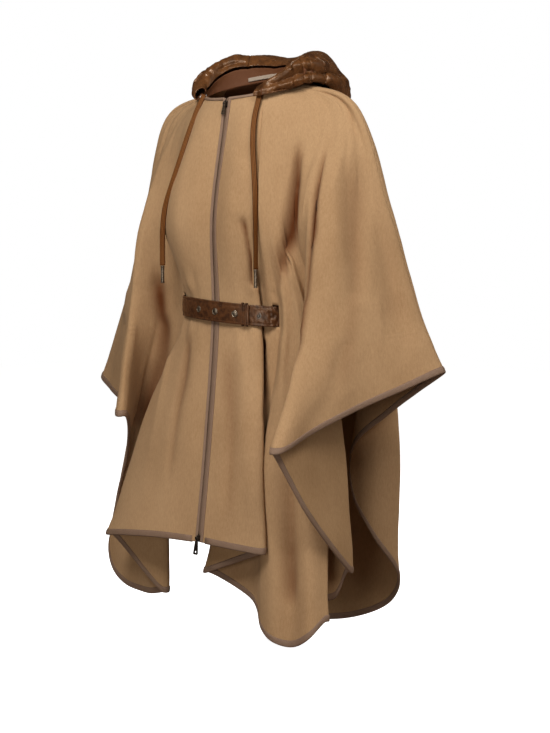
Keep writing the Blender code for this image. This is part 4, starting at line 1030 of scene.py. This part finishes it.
# the lying hood: degrees round the neck, how far it reaches out, top of the roll, lowest place on the cape
hood = {
    "wall": 1.2, "fall": 9, "lift": 10.0, "seamLift": 2.75, "least": 6, "drop": 6, "rimOut": 1, "rimShare": 0.6,
    "seams": (165, 222),
    "section": [(0.8, 0.0), (1.0, 0.14), (1.04, 0.42)], "rim": [(0.86, 0.8), (0.5, 1.0), (0.16, 0.97)],
    "rows": [
        (37, 7, -27, -40), (48, 13, -18, -34), (62, 20, -4, -27), (80, 32, 22, -22), (100, 46, 30, -20),
        (122, 66, 38, -38), (144, 90, 47, -96), (165, 108, 47, -150), (188, 112, 46, -160), (205, 108, 49, -140),
        (222, 94, 48, -90), (242, 66, 44, -34), (264, 44, 26, -20), (284, 34, 0, -26), (302, 20, -16, -31)],
    "across": 12, "around": 12, "fold": 2.2, "cross": 0.7, "fine": 0.9, "pucker": 1.2, "puckerFade": 26, "groove": 1.3,
    "grooveHalf": 1.1, "seamPucker": 0.9, "seamFade": 6, "bands": 3.4, "slant": 75, "shortest": 90,
    "limits": (-3.5, 2.8), "calm": 0.35, "calmRows": (6, 14), "endFade": (14, 0.3), "perDegree": 1.75, "stitchUp": 0.1,
    "widthWaver": (0.25, 6.1), "foldEnds": 6,
    "slump": (-7, 124, 24, 0.5, 0.22), "farRise": (4, 236, 34, 0.95, 0.2),
    "folds": [  # depth, half width in mm, edge, then degrees and share of the way from the low edge to the rim
        (-6.5, 5, 0.3, [
            (50, 0.62), (56, 0.52), (68, 0.43), (80, 0.38), (92, 0.36), (104, 0.34), (116, 0.30),
            (130, 0.24)]),
        (3.5, 7, 0.7, [(54, 0.72), (70, 0.56), (85, 0.50), (100, 0.50), (114, 0.50)]),
        (3.5, 6, 0.7, [(51, 0.34), (66, 0.30), (80, 0.25), (95, 0.22), (110, 0.20), (126, 0.14)]),
        (-4.0, 4, 0.3, [(52, 0.20), (64, 0.17), (76, 0.13), (92, 0.08), (110, 0.05)]),
        (-4.5, 4, 0.3, [(60, 0.66), (74, 0.68), (88, 0.70), (102, 0.72)]),
        (2.5, 5, 0.6, [(64, 0.80), (80, 0.84), (98, 0.86), (118, 0.82)]),
        (-4.0, 4, 0.4, [(78, 0.90), (96, 0.95), (118, 0.92), (140, 0.88)]),
        (3.0, 5, 0.6, [(208, 0.92), (230, 0.87), (252, 0.82), (274, 0.78), (292, 0.72)]),
        (-4.5, 4, 0.3, [(204, 0.80), (226, 0.76), (248, 0.70), (268, 0.62), (286, 0.55)]),
        (-3.5, 3.5, 0.3, [(222, 0.96), (244, 0.93), (266, 0.90)]),
        (-5.0, 8, 0.5, [(134, 0.52), (156, 0.44), (180, 0.42), (204, 0.47), (222, 0.54)]),
        (-4.5, 7, 0.4, [(126, 0.30), (150, 0.20), (174, 0.16), (196, 0.22), (216, 0.30)]),
        (4.0, 9, 0.8, [(130, 0.40), (154, 0.32), (178, 0.29), (202, 0.34), (220, 0.42)]),
        (-4.0, 6, 0.4, [(140, 0.70), (164, 0.62), (190, 0.60), (212, 0.66)]),
    ],
    "stand": {"reach": (58, 301), "gap": 4.5, "foot": -2.7, "head": -0.6, "slack": 1.2, "gather": 0.6, "wall": 0.6,
              "rows": 14, "outward": 4, "least": 4, "sunk": 2, "endFade": (8, 20, 0.35)},
}


def neckDegrees(points, form):  # how far round the neck from its front
    forward = (form["neckY"] * mm - points[:, 1]) / form["neckHalf"][1]
    return np.degrees(np.arctan2(points[:, 0] / form["neckHalf"][0], forward))


def capeProfile(angle, form):
    degrees = neckDegrees(grid[0], form) % 360
    j = int(np.searchsorted(degrees, angle)) - 1
    j = max(0, min(j, grid.shape[1] - 2))
    t = (angle - degrees[j]) / max(degrees[j + 1] - degrees[j], 1e-9)
    end = slitRows[0]
    return grid[:end, j] * (1 - t) + grid[:end, j + 1] * t, unit(normals[:end, j] * (1 - t) + normals[:end, j + 1] * t)


def hoodSection(angle, reach, top, low, setup, form):
    points, outs = capeProfile(angle, form)
    seam = points[0]
    low = min(low * mm, seam[2] - setup["drop"] * mm)
    keep = int(np.argmax(points[:, 2] <= low))
    t = (points[keep - 1, 2] - low) / (points[keep - 1, 2] - points[keep, 2])
    line = np.vstack([points[:keep], points[keep - 1] * (1 - t) + points[keep] * t])
    lineOut = np.vstack([outs[:keep], outs[keep]])
    along = np.concatenate([[0], np.cumsum(np.linalg.norm(np.diff(line, axis=0), axis=1))])
    at = np.linspace(0, along[-1], setup["fall"] + 1)
    place = np.stack([np.interp(at, along, line[:, k]) for k in range(3)], axis=1)
    out = unit(np.stack([np.interp(at, along, lineOut[:, k]) for k in range(3)], axis=1))
    lift = setup["seamLift"] + (setup["lift"] - setup["seamLift"]) * np.minimum(1, np.arange(setup["fall"] + 1) / 3)
    place = list(place + out * lift[:, None] * mm)
    level = np.array([1, 1, 0])
    way = (place[-1] - seam) * level
    far = np.linalg.norm(way)
    way = way / far
    flatDistance = np.linalg.norm((points - seam) * level, axis=1)
    reach *= mm
    top *= mm

    def spot(away, z):
        return seam * level + way * away + np.array([0, 0, z])

    for share, height in setup["section"]:
        away = max(share * reach, far + setup["least"] * mm * min(1, share))
        z = low + height * (top - low)
        beyond = np.nonzero(flatDistance >= away)[0]
        if len(beyond):
            z = max(z, points[beyond[0], 2] + setup["lift"] * mm)
        place.append(spot(away, z))
    for share, height in setup["rim"]:
        place.append(spot(share * reach, low + height * (top - low)))
    place.append(spot(setup["rimOut"] * mm, seam[2] + setup["rimShare"] * (top - seam[2])))
    return np.array(place)


def hoodGrid(setup, form):
    table = np.array(setup["rows"], float)
    shape = spanCurves(table[None, :, 1:], [evenly(setup["across"])] * (len(table) - 1))[0]
    stops = table[:, 0]
    angles = [np.linspace(a, b, setup["across"], endpoint=False) for a, b in zip(stops, stops[1:])]
    angles = np.concatenate([*angles, stops[-1:]])
    sections = np.stack([hoodSection(angle, *values, setup, form) for angle, values in zip(angles, shape)])
    shares = [evenly(3)] * setup["fall"] + [evenly(setup["around"])] * (sections.shape[1] - 1 - setup["fall"])
    return spanCurves(sections, shares).transpose(1, 0, 2), angles


def hoodFolds(angles, share, length, setup):  # the main folds, each listed
    total = np.zeros(share.shape)
    swing, pace = setup["widthWaver"]
    for depth, width, soft, route in setup["folds"]:
        line = spanCurves(np.array(route, float)[None], [evenly(12)] * (len(route) - 1))[0]
        best = np.full(share.shape, 1e9)
        along = np.zeros(share.shape)
        for k, (degrees, at) in enumerate(line):
            away = ((angles - degrees) * setup["perDegree"]) ** 2 + ((share - at) * length) ** 2
            closer = away < best
            best = np.where(closer, away, best)
            along = np.where(closer, k / (len(line) - 1), along)
        far = np.sqrt(best) / (width * (1 + swing * np.sin(along * pace + depth)))
        total += depth * foldShape(far, along, soft, setup["foldEnds"])
    for height, at, wide, middle, tall in (setup["slump"], setup["farRise"]):
        total += height * np.exp(-((angles - at) / wide) ** 2 - ((share - middle) / tall) ** 2)
    return total


def crumpleHood(sheet, angles, setup):  # long folds that run round the neck and draw together at the front ends
    inward = gridNormals(sheet)
    down = runLength(sheet, 0) / mm
    value = np.zeros(sheet.shape[:2])
    lower = 3 * setup["fall"]
    for j in range(sheet.shape[1]):
        degrees = angles[j]
        length = down[-1, j] - down[lower, j]
        for i in range(sheet.shape[0]):
            v = down[i, j]
            share = (v - down[lower, j]) / max(length, setup["shortest"])
            long = noise.noise((degrees / 55, share * setup["bands"] - degrees / setup["slant"], 1.3))
            cross = noise.noise((degrees / 24 + share * 1.2, share * 2.1, 6.7))
            short = noise.noise((degrees / 13 + v / 60, v / 17, 5.1))
            bunch = noise.noise((degrees / 5, v / 60, 9.7))
            value[i, j] = setup["fold"] * (0.6 - 3.0 * abs(long)) + setup["fold"] * setup["cross"] * cross
            value[i, j] += setup["fine"] * (0.4 - 2.4 * abs(short))
            value[i, j] += setup["pucker"] * bunch * math.exp(-v / setup["puckerFade"])
            for seam in setup["seams"]:
                away = abs(degrees - seam)
                value[i, j] -= setup["groove"] * math.exp(-(away / setup["grooveHalf"]) ** 2)
                small = noise.noise((degrees / 7, v / 9, 3.3))
                value[i, j] += setup["seamPucker"] * small * math.exp(-away / setup["seamFade"])
    rows = np.arange(sheet.shape[0])
    calmest, (first, second) = setup["calm"], setup["calmRows"]
    fade = np.clip(calmest + (1 - calmest) * (rows - lower) / second, calmest, 1.0)
    fade[:first] = rows[:first] / first * calmest
    ends = np.clip(np.minimum(angles - angles[0], angles[-1] - angles) / setup["endFade"][0], setup["endFade"][1], 1)
    length = down[-1] - down[lower]
    share = (down - down[lower]) / length
    value = np.clip(value, *setup["limits"]) + np.where(share > -0.02, hoodFolds(angles, share, length, setup), 0)
    return sheet - inward * (value * fade[:, None] * ends[None, :])[..., None] * mm


def makeHood(setup, form):
    sheet, angles = hoodGrid(setup, form)
    sheet = crumpleHood(sheet, angles, setup)
    uv = clothUv(sheet)
    cuts = [0, *[int(np.argmin(abs(angles - seam))) for seam in setup["seams"]], len(angles) - 1]
    made = {}
    for name, first, last in zip(("hood_left", "hood_centre", "hood_right"), cuts, cuts[1:]):
        obj = gridMesh("nylon_" + name, sheet[:, first:last + 1], uv[:, first:last + 1], liningCloth)
        made[name] = settle(thicken(obj, setup["wall"] * mm, glossNylon), name)
    outer = sheet - gridNormals(sheet) * (setup["wall"] / 2 + setup["stitchUp"]) * mm
    lines = [outer[6:, at + side] for at in cuts[1:3] for side in (-2, 2)]
    sewLine("stitches_hood", [*lines, outer[-3]])
    return made, makeStand(sheet, angles, setup["stand"], form)


def makeStand(sheet, angles, setup, form):  # the inner layer, standing from the neck seam to just under the rim
    first, last = setup["reach"]
    columns = [j for j in range(len(angles)) if first <= angles[j] <= last]
    least, sunk, (near, far, lowest) = setup["least"] * mm, setup["sunk"] * mm, setup["endFade"]
    rows = []
    for j in columns:
        degrees = angles[j]
        seam = neckPoint(degrees, form) * mm
        level = np.array([1, 1, 0])
        outward = unit((seam - np.array([0, form["neckY"], 0]) * mm) * level) * setup["outward"] * mm
        way = unit((sheet[-1, j] - seam) * level + outward)
        end = min(degrees - first, last - degrees)
        rise = sheet[-1, j, 2] - seam[2] - setup["gap"] * mm * min(1, end / near)
        rise = max(rise, least) * min(1, lowest + end / far)
        line = []
        for t in np.linspace(0, 1, setup["rows"]):
            gather = setup["gather"] * noise.noise((degrees / 9, t * 1.6, 4.4)) * (0.3 + 0.7 * math.sin(math.pi * t))
            swellOut = setup["slack"] * math.sin(math.pi * t) + gather
            away = setup["foot"] + (setup["head"] - setup["foot"]) * t + swellOut
            line.append(seam + way * away * mm + np.array([0, 0, (rise + sunk) * t - sunk]))
        rows.append(line)
    stand = np.array(rows).transpose(1, 0, 2)
    obj = gridMesh("lining_hood_stand", stand, clothUv(stand), hoodLining)
    thicken(obj, setup["wall"] * mm)
    return rideAlong(obj)


# the belt: degrees round the waist, how far it stands outside the waist's ellipse
belt = {
    "half": (140, 95), "height": 35, "wall": 2.5, "under": 5.6, "over": 8.8, "snaps": (-30, 9, 48), "socket": 86,
    "padding": 0.9, "padHalf": 0.72, "groove": (0.8, 0.25), "ripple": (0.5, 2.2), "narrow": 0.03, "trim": 0.3,
    "crush": (49, 5), "slant": (5, 8), "stitchRows": (0.84, 0.70, -0.70, -0.84), "stitchEnd": 4, "stitchUp": 0.05,
    "loops": [(28.6, 2.6), (25.6, 2.2)], "loopRoom": 2.0, "loopBend": 1.2, "loopBack": 1.6, "loopWall": 1.1,
    "path": [(-29, 5.6), (-15, 5.6), (0, 5.6), (18, 5.6), (34, 5.6), (41, 5.2), (46, 3.6), (50.5, 1.0), (54, -2.0),
             (59, -4.0), (66, -5.0), (90, -5.0), (125, -5.0), (160, -5.0), (200, -5.0), (235, -5.0), (270, -5.0),
             (294, -5.0), (301, -4.2), (306, -2.0), (309.5, 1.0), (314, 4.2), (319, 7.2), (326, 8.8), (345, 8.8),
             (360, 8.8), (376, 8.8), (391, 8.8)],
    "steps": 10, "across": 24,
}


def waistPlace(degrees, offset, setup, form):
    angle = math.radians(degrees)
    wide, deep = setup["half"]
    out = unit(np.array([math.sin(angle) / wide, -math.cos(angle) / deep, 0]))
    point = np.array([wide * math.sin(angle), -deep * math.cos(angle), 0]) + out * offset
    point[2] = waistHeight(point[0], form)
    return point * mm, out


def makeBelt(setup, form):
    controls = np.array([waistPlace(angle, offset, setup, form)[0] for angle, offset in setup["path"]])
    line = spanCurves(controls[None], [evenly(setup["steps"])] * (len(controls) - 1))[0]
    along = np.gradient(line, axis=0) * np.array([1, 1, 0])
    out = unit(np.stack([along[:, 1], -along[:, 0], np.zeros(len(line))], axis=1))
    stops = [angle for angle, _ in setup["path"]]
    degrees = np.interp(np.arange(len(line)) / setup["steps"], np.arange(len(stops)), stops)
    middle, span = setup["crush"]  # where the strap is drawn into the slit
    crushed = np.exp(-((degrees - middle) / span) ** 2)
    half = setup["height"] / 2 * mm
    shares = np.linspace(1, -1, setup["across"] + 1)
    push, span = setup["slant"]
    slant = push * np.exp(-((degrees - middle) / span) ** 2)
    steady = np.arange(len(line), dtype=float)
    edge, (grooveEnd, groove), (slight, strong) = setup["padHalf"], setup["groove"], setup["ripple"]
    rows = []
    for t in shares:
        moved = np.clip(steady - t * slant, 0, len(line) - 1)  # the lower edge turns in first
        course = np.stack([np.interp(moved, steady, line[:, k]) for k in range(3)], axis=1)
        seat = setup["padding"] * max(0, 1 - (abs(t) / edge) ** 4) - groove * (edge < abs(t) < grooveEnd)
        ripple = np.array([noise.noise((d / 2.2, t * 2.4, 2.2)) for d in degrees])
        rows.append(course + np.array([0, 0, 1]) * t * half * (1 - setup["narrow"] * crushed)[:, None]
                    + out * (seat + ripple * (slight + strong * crushed))[:, None] * mm)
    strap = np.stack(rows)
    obj = gridMesh("strap_belt", strap, clothUv(strap), strapNylon)
    settle(thicken(obj, (setup["wall"] - setup["trim"]) * mm), "belt")
    lift = out * (setup["wall"] / 2 + setup["stitchUp"]) * mm
    lines = [strap[int(np.argmin(abs(shares - share)))] + lift for share in setup["stitchRows"]]
    end = line[-1] - unit(line[-1] - line[-2]) * setup["stitchEnd"] * mm + lift[-1]
    lines.append(np.stack([end + np.array([0, 0, half * t]) for t in (0.8, 0.3, -0.3, -0.8)]))
    sewLine("stitches_belt", lines)
    makeKeepers(setup, form)


def makeKeepers(setup, form):  # the two narrow loops round both layers of the strap
    back = setup["wall"] / 2 + setup["loopBack"]
    depth = setup["wall"] / 2 + setup["over"] - setup["under"] + setup["loopRoom"]
    tall = setup["height"] / 2 + setup["loopRoom"]
    for number, (angle, wide) in enumerate(setup["loops"], 1):
        centre, way = waistPlace(angle, setup["over"] + setup["wall"] / 2, setup, form)
        side = np.array([-way[1], way[0], 0])
        ring = []
        for x, y in roundedRing(depth, tall, setup["loopBend"]):
            spot = centre + (way * (x - back) + np.array([0, 0, y])) * mm
            ring.append([spot + side * w * mm for w in np.linspace(-wide / 2, wide / 2, 5)])
        band = np.array([*ring, ring[0]])
        loop = gridMesh(f"keeper_{number}", band, clothUv(band), strapNylon)
        closeMesh(loop.data, fill=False)
        rideAlong(thicken(loop, setup["loopWall"] * mm))


def roundedRing(depth, half, bend, steps=4):  # a narrow upright loop, seen from its end
    points = []
    for cx, cy, start in ((depth / 2 - bend, half - bend, 0), (bend - depth / 2, half - bend, 90),
                          (bend - depth / 2, bend - half, 180), (depth / 2 - bend, bend - half, 270)):
        for k in range(steps + 1):
            turn = math.radians(start + 90 * k / steps)
            points.append((cx + bend * math.cos(turn), cy + bend * math.sin(turn)))
    return points


# turned metal pieces: the snaps and the tips of the cords
def turned(name, profile, centre, axis, material, segments=40):  # profile: (radius, height) in mm from the foot up
    turn = Vector(axis).normalized().to_track_quat("Z", "Y").to_matrix()
    mesh = bpy.data.meshes.new(name)
    points, faces = [], []
    for radius, height in profile:
        for k in range(segments):
            angle = 2 * math.pi * k / segments
            spot = turn @ Vector((radius * math.cos(angle), radius * math.sin(angle), height)) * mm
            points.append(spot + Vector(centre))
    for i in range(len(profile) - 1):
        for k in range(segments):
            a, b = i * segments + k, i * segments + (k + 1) % segments
            faces.append((a, b, b + segments, a + segments))
    mesh.from_pydata(points, [], faces)
    closeMesh(mesh)
    mesh.polygons.foreach_set("use_smooth", np.ones(len(mesh.polygons), bool))
    mesh.set_sharp_from_angle(angle=math.radians(35))
    mesh.materials.append(material)
    return newObject(name, mesh)


snap = {
    "seat": 0.25,
    "cap": [
        (5.9, 0.0), (6.0, 0.5), (5.8, 1.1), (5.2, 1.45), (4.7, 1.3), (4.35, 0.95), (3.9, 1.0), (3.3, 1.45),
        (2.3, 1.75), (1.1, 1.9), (0.0, 1.95)],
    "stud": [
        (5.2, 0.0), (5.3, 0.3), (4.9, 0.5), (3.4, 0.5), (3.0, 0.35), (2.4, 0.35), (2.2, 0.6), (2.2, 1.1),
        (1.7, 1.3), (0.0, 1.35)],
}


def makeSnaps(setup, belt, form):
    for number, place in enumerate([*belt["snaps"], belt["socket"]], 1):
        angle = math.degrees(math.asin(place / belt["half"][0]))
        last = number > len(belt["snaps"])
        lift = (belt["under"] if last else belt["over"]) + belt["wall"] / 2 + setup["seat"]
        spot, out = waistPlace(angle, lift, belt, form)
        node = "snap_socket" if last else f"snap_{number}"
        profile, metal = (setup["stud"], darkMetal) if last else (setup["cap"], agedMetal)
        settle(turned("turned_" + node, profile, spot, out, metal), node)


# drawcords: the same routes as their solids, in mm
cords = {
    "left": [(68, -51, -29), (69, -60, -52), (71, -71, -80), (78, -83, -120), (87, -90, -165),
             (94, -94.5, -210), (97, -97.5, -250), (98, -97.5, -300), (98, -97.5, -338)],
    "right": [(-78, -43, -29), (-84, -56.3, -60), (-90, -71, -100), (-98, -86, -150), (-108, -95, -190),
              (-120, -98, -225), (-127, -98, -265), (-129, -97, -300), (-129, -97, -330)],
    "width": 9.5, "thick": 2.0, "tip": 31, "tipGap": 0.3,
    "facing": {"left": (0.55, -0.83, 0), "right": (0.35, -0.93, 0)},
    "twist": {"left": (0.45, 0.85, 50), "right": (0.55, 0.75, 24)},
    "tipProfile": [
        (2.7, 0.0), (3.3, 0.2), (3.5, 0.8), (3.45, 1.6), (3.1, 2.0), (3.05, 3.0), (3.05, 25.0), (3.1, 27.4),
        (3.45, 27.9), (3.5, 28.9), (3.45, 30.2), (2.9, 30.8), (1.9, 30.9)],
}


def flatSection(width, thick, rounds=5):  # the outline of a flat strap with round edges, anticlockwise
    flat, bend = (width - thick) / 2, thick / 2
    points = []
    for side in (1, -1):
        for k in range(rounds):
            turn = math.pi * (k / (rounds - 1) - 0.5)
            points.append((side * (flat + bend * math.cos(turn)), side * bend * math.sin(turn)))
    return points


def sweptTube(name, line, facing, section, material, roll):
    tangent = unit(np.gradient(line, axis=0))
    side = unit(np.cross(tangent, facing))
    front = unit(np.cross(side, tangent))
    tilt, level = np.sin(roll)[:, None], np.cos(roll)[:, None]
    side, front = side * level + front * tilt, front * level - side * tilt
    section = [*section, section[0]]
    tube = np.stack([line + side * x * mm + front * y * mm for x, y in section])
    obj = gridMesh(name, tube, clothUv(tube), material)
    half = max(abs(x) for x, _ in section)
    across = obj.data.attributes.new("across", "FLOAT", "POINT")
    across.data.foreach_set("value", np.repeat([x / half for x, _ in section], len(line)).astype(np.float32))
    closeMesh(obj.data)
    return obj


def cordLine(setup, side):
    controls = np.array(setup[side], float) * mm
    return spanCurves(controls[None], [evenly(12)] * (len(controls) - 1))[0]


def makeCords(setup):
    section = flatSection(setup["width"], setup["thick"])
    for side in ("left", "right"):
        line = cordLine(setup, side)
        share = np.linspace(0, 1, len(line))
        start, end, angle = setup["twist"][side]
        roll = np.radians(angle) * ease(np.clip((share - start) / (end - start), 0, 1))
        cord = sweptTube("cord_" + side, line, np.array(setup["facing"][side]), section, cordBraid, roll)
        settle(cord, "drawcord_" + side)
        foot = line[-1] - np.array([0, 0, setup["tip"] + setup["tipGap"]]) * mm
        tip = turned("turned_tip_" + side, setup["tipProfile"], foot, (0, 0, 1), agedMetal, 28)
        settle(tip, "tip_" + side)


# facing and tape inside the back of the neck
neckTrim = {
    "facingRows": (0, 22), "facingIn": 2.2, "facingWall": 0.6,
    "tape": (150, 222), "tapeHeight": 7, "tapeIn": 3.9, "tapeFoot": 3.0, "tapeWall": 0.7,
}


def makeNeckTrim(setup, form):
    first = lineColumns[len(cape["leftFront"]) + 2]
    last = lineColumns[len(cape["leftFront"]) + 2 * len(cape["back"]) - 2]
    low, high = setup["facingRows"]
    rows = slice(low, high)
    sheet = grid[rows, first:last + 1] - normals[rows, first:last + 1] * setup["facingIn"] * mm
    facing = gridMesh("lining_facing", sheet, clothUv(sheet), liningCloth)
    settle(thicken(facing, setup["facingWall"] * mm), "neck_facing")
    heights = setup["tapeFoot"] + np.linspace(0, setup["tapeHeight"], 6)
    strip = []
    for degrees in np.linspace(*setup["tape"], 40):
        seam = neckPoint(degrees, form)
        way = unit((seam - np.array([0, form["neckY"], 0])) * np.array([1, 1, 0]))
        strip.append([seam + np.array([0, 0, height]) - way * setup["tapeIn"] for height in heights])
    strip = np.array(strip).transpose(1, 0, 2) * mm
    tape = gridMesh("strip_neck_tape", strip, clothUv(strip), paleTape)
    settle(thicken(tape, setup["tapeWall"] * mm), "neck_tape")
    return facing


# the front zip
zipper = {
    "pitch": 1.5, "tooth": (1.15, 1.1, 2.0), "apart": 0.9, "back": 2.4, "top": -57.5, "bottom": -794.5, "step": 4.0,
    "bevel": 0.35, "flatAngle": 2,
}


def makeZip(setup):
    edge = (grid[:, 0] + grid[:, -1]) / 2
    order = np.argsort(edge[:, 2])
    heights = np.arange(setup["bottom"], setup["top"], setup["step"]) * mm
    y = np.interp(heights, edge[order, 2], edge[order, 1]) + setup["back"] * mm
    middle = np.stack([np.zeros(len(heights)), y, heights], axis=1)
    lines = []
    for side in (-1, 1):
        row = middle + np.array([side * setup["apart"], 0, 0]) * mm
        row[:, 2] += (side + 1) / 4 * setup["pitch"] * mm
        lines.append(row)
    tooth = bead("tooth", [size * mm for size in setup["tooth"]], 8, 5)
    settle(repeatOn("zip_teeth", lines, tooth, setup["pitch"] * mm, darkMetal), "zip_chain")
    for name in ("zip_tape_left", "zip_tape_right"):
        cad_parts[name].data.materials[0] = boundTape
    for name in ("slider_top", "slider_bottom", "pull_top", "pull_bottom"):
        obj = newObject("soft_" + name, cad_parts[name].data.copy())
        work = bmesh.new()
        work.from_mesh(obj.data)
        bmesh.ops.remove_doubles(work, verts=work.verts, dist=1e-6)
        flat = math.radians(setup["flatAngle"])
        bmesh.ops.dissolve_limit(work, angle_limit=flat, verts=work.verts, edges=work.edges)
        work.to_mesh(obj.data)
        work.free()
        obj.data.materials.clear()
        # the top pull takes the paler aged brass, partly its own brownish tone and partly painted light, lighter than
        # the bottom pull so it does not go black in the dim room it faces
        obj.data.materials.append(agedMetal if name == "pull_top" else darkMetal)
        rounded = obj.modifiers.new("rounded", "BEVEL")
        rounded.width = setup["bevel"] * mm
        rounded.segments = 3
        rounded.limit_method = "ANGLE"
        settle(obj, name, name.replace("pull_", "") + "_pull" if name.startswith("pull") else "cape")


# the tape folded over the neck edge of each front
neckEdge = {"steps": (4.0, 3.0, 2.0, 1.0, 0.0, -0.4), "sides": {"left": 48, "right": 56}}


def makeNeckEdge(setup, form):
    degrees = abs(neckDegrees(grid[0], form))
    for side, end in setup["sides"].items():
        near = degrees <= end
        columns = [j for j in range(grid.shape[1]) if near[j] and (grid[0, j, 0] > 0) == (side == "left")]
        depth = np.linalg.norm(grid[1, columns] - grid[0, columns], axis=1)[:, None] / mm
        way = (grid[1, columns] - grid[0, columns]) / depth
        band = np.stack([grid[0, columns] + way * step for step in setup["steps"]])
        outs = np.stack([normals[0, columns]] * 6)
        rideAlong(foldedTape("tape_neck_" + side, band, outs, binding, form["wall"]))


makeCamera(cameraSetup)
makeStage(stageSetup)
makeCords(cords)
print("cords done")
for side in ("left", "right"):
    grid = makeRoomFor(grid, cordLine(cords, side), (cape["wall"] + cords["thick"]) / 2, channel)
normals = gridNormals(grid)
panels = makePanels(grid, cape)
print("panels done")
bindings = makeBindings(grid, normals, cape, binding)
makeNeckEdge(neckEdge, cape)
print("binding done")
hoodPieces, hoodStand = makeHood(hood, cape)
print("hood done")
makeBelt(belt, cape)
makeSnaps(snap, belt, cape)
facing = makeNeckTrim(neckTrim, cape)
makeZip(zipper)
print("belt, neck and zip done")

# the cut of each sheet, in metres and square metres
cuts = {
    "front_left": ((1.43, 0.96), 0.465, ["binding_hem_left", "binding_front_left"]),
    "back": ((1.62, 1.01), 0.642, ["binding_hem_back"]),
    "front_right": ((1.25, 0.94), 0.377, ["binding_hem_right", "binding_front_right"]),
}
for name, (flat, area, edges) in cuts.items():
    edges = [bindings[edge] for edge in edges]
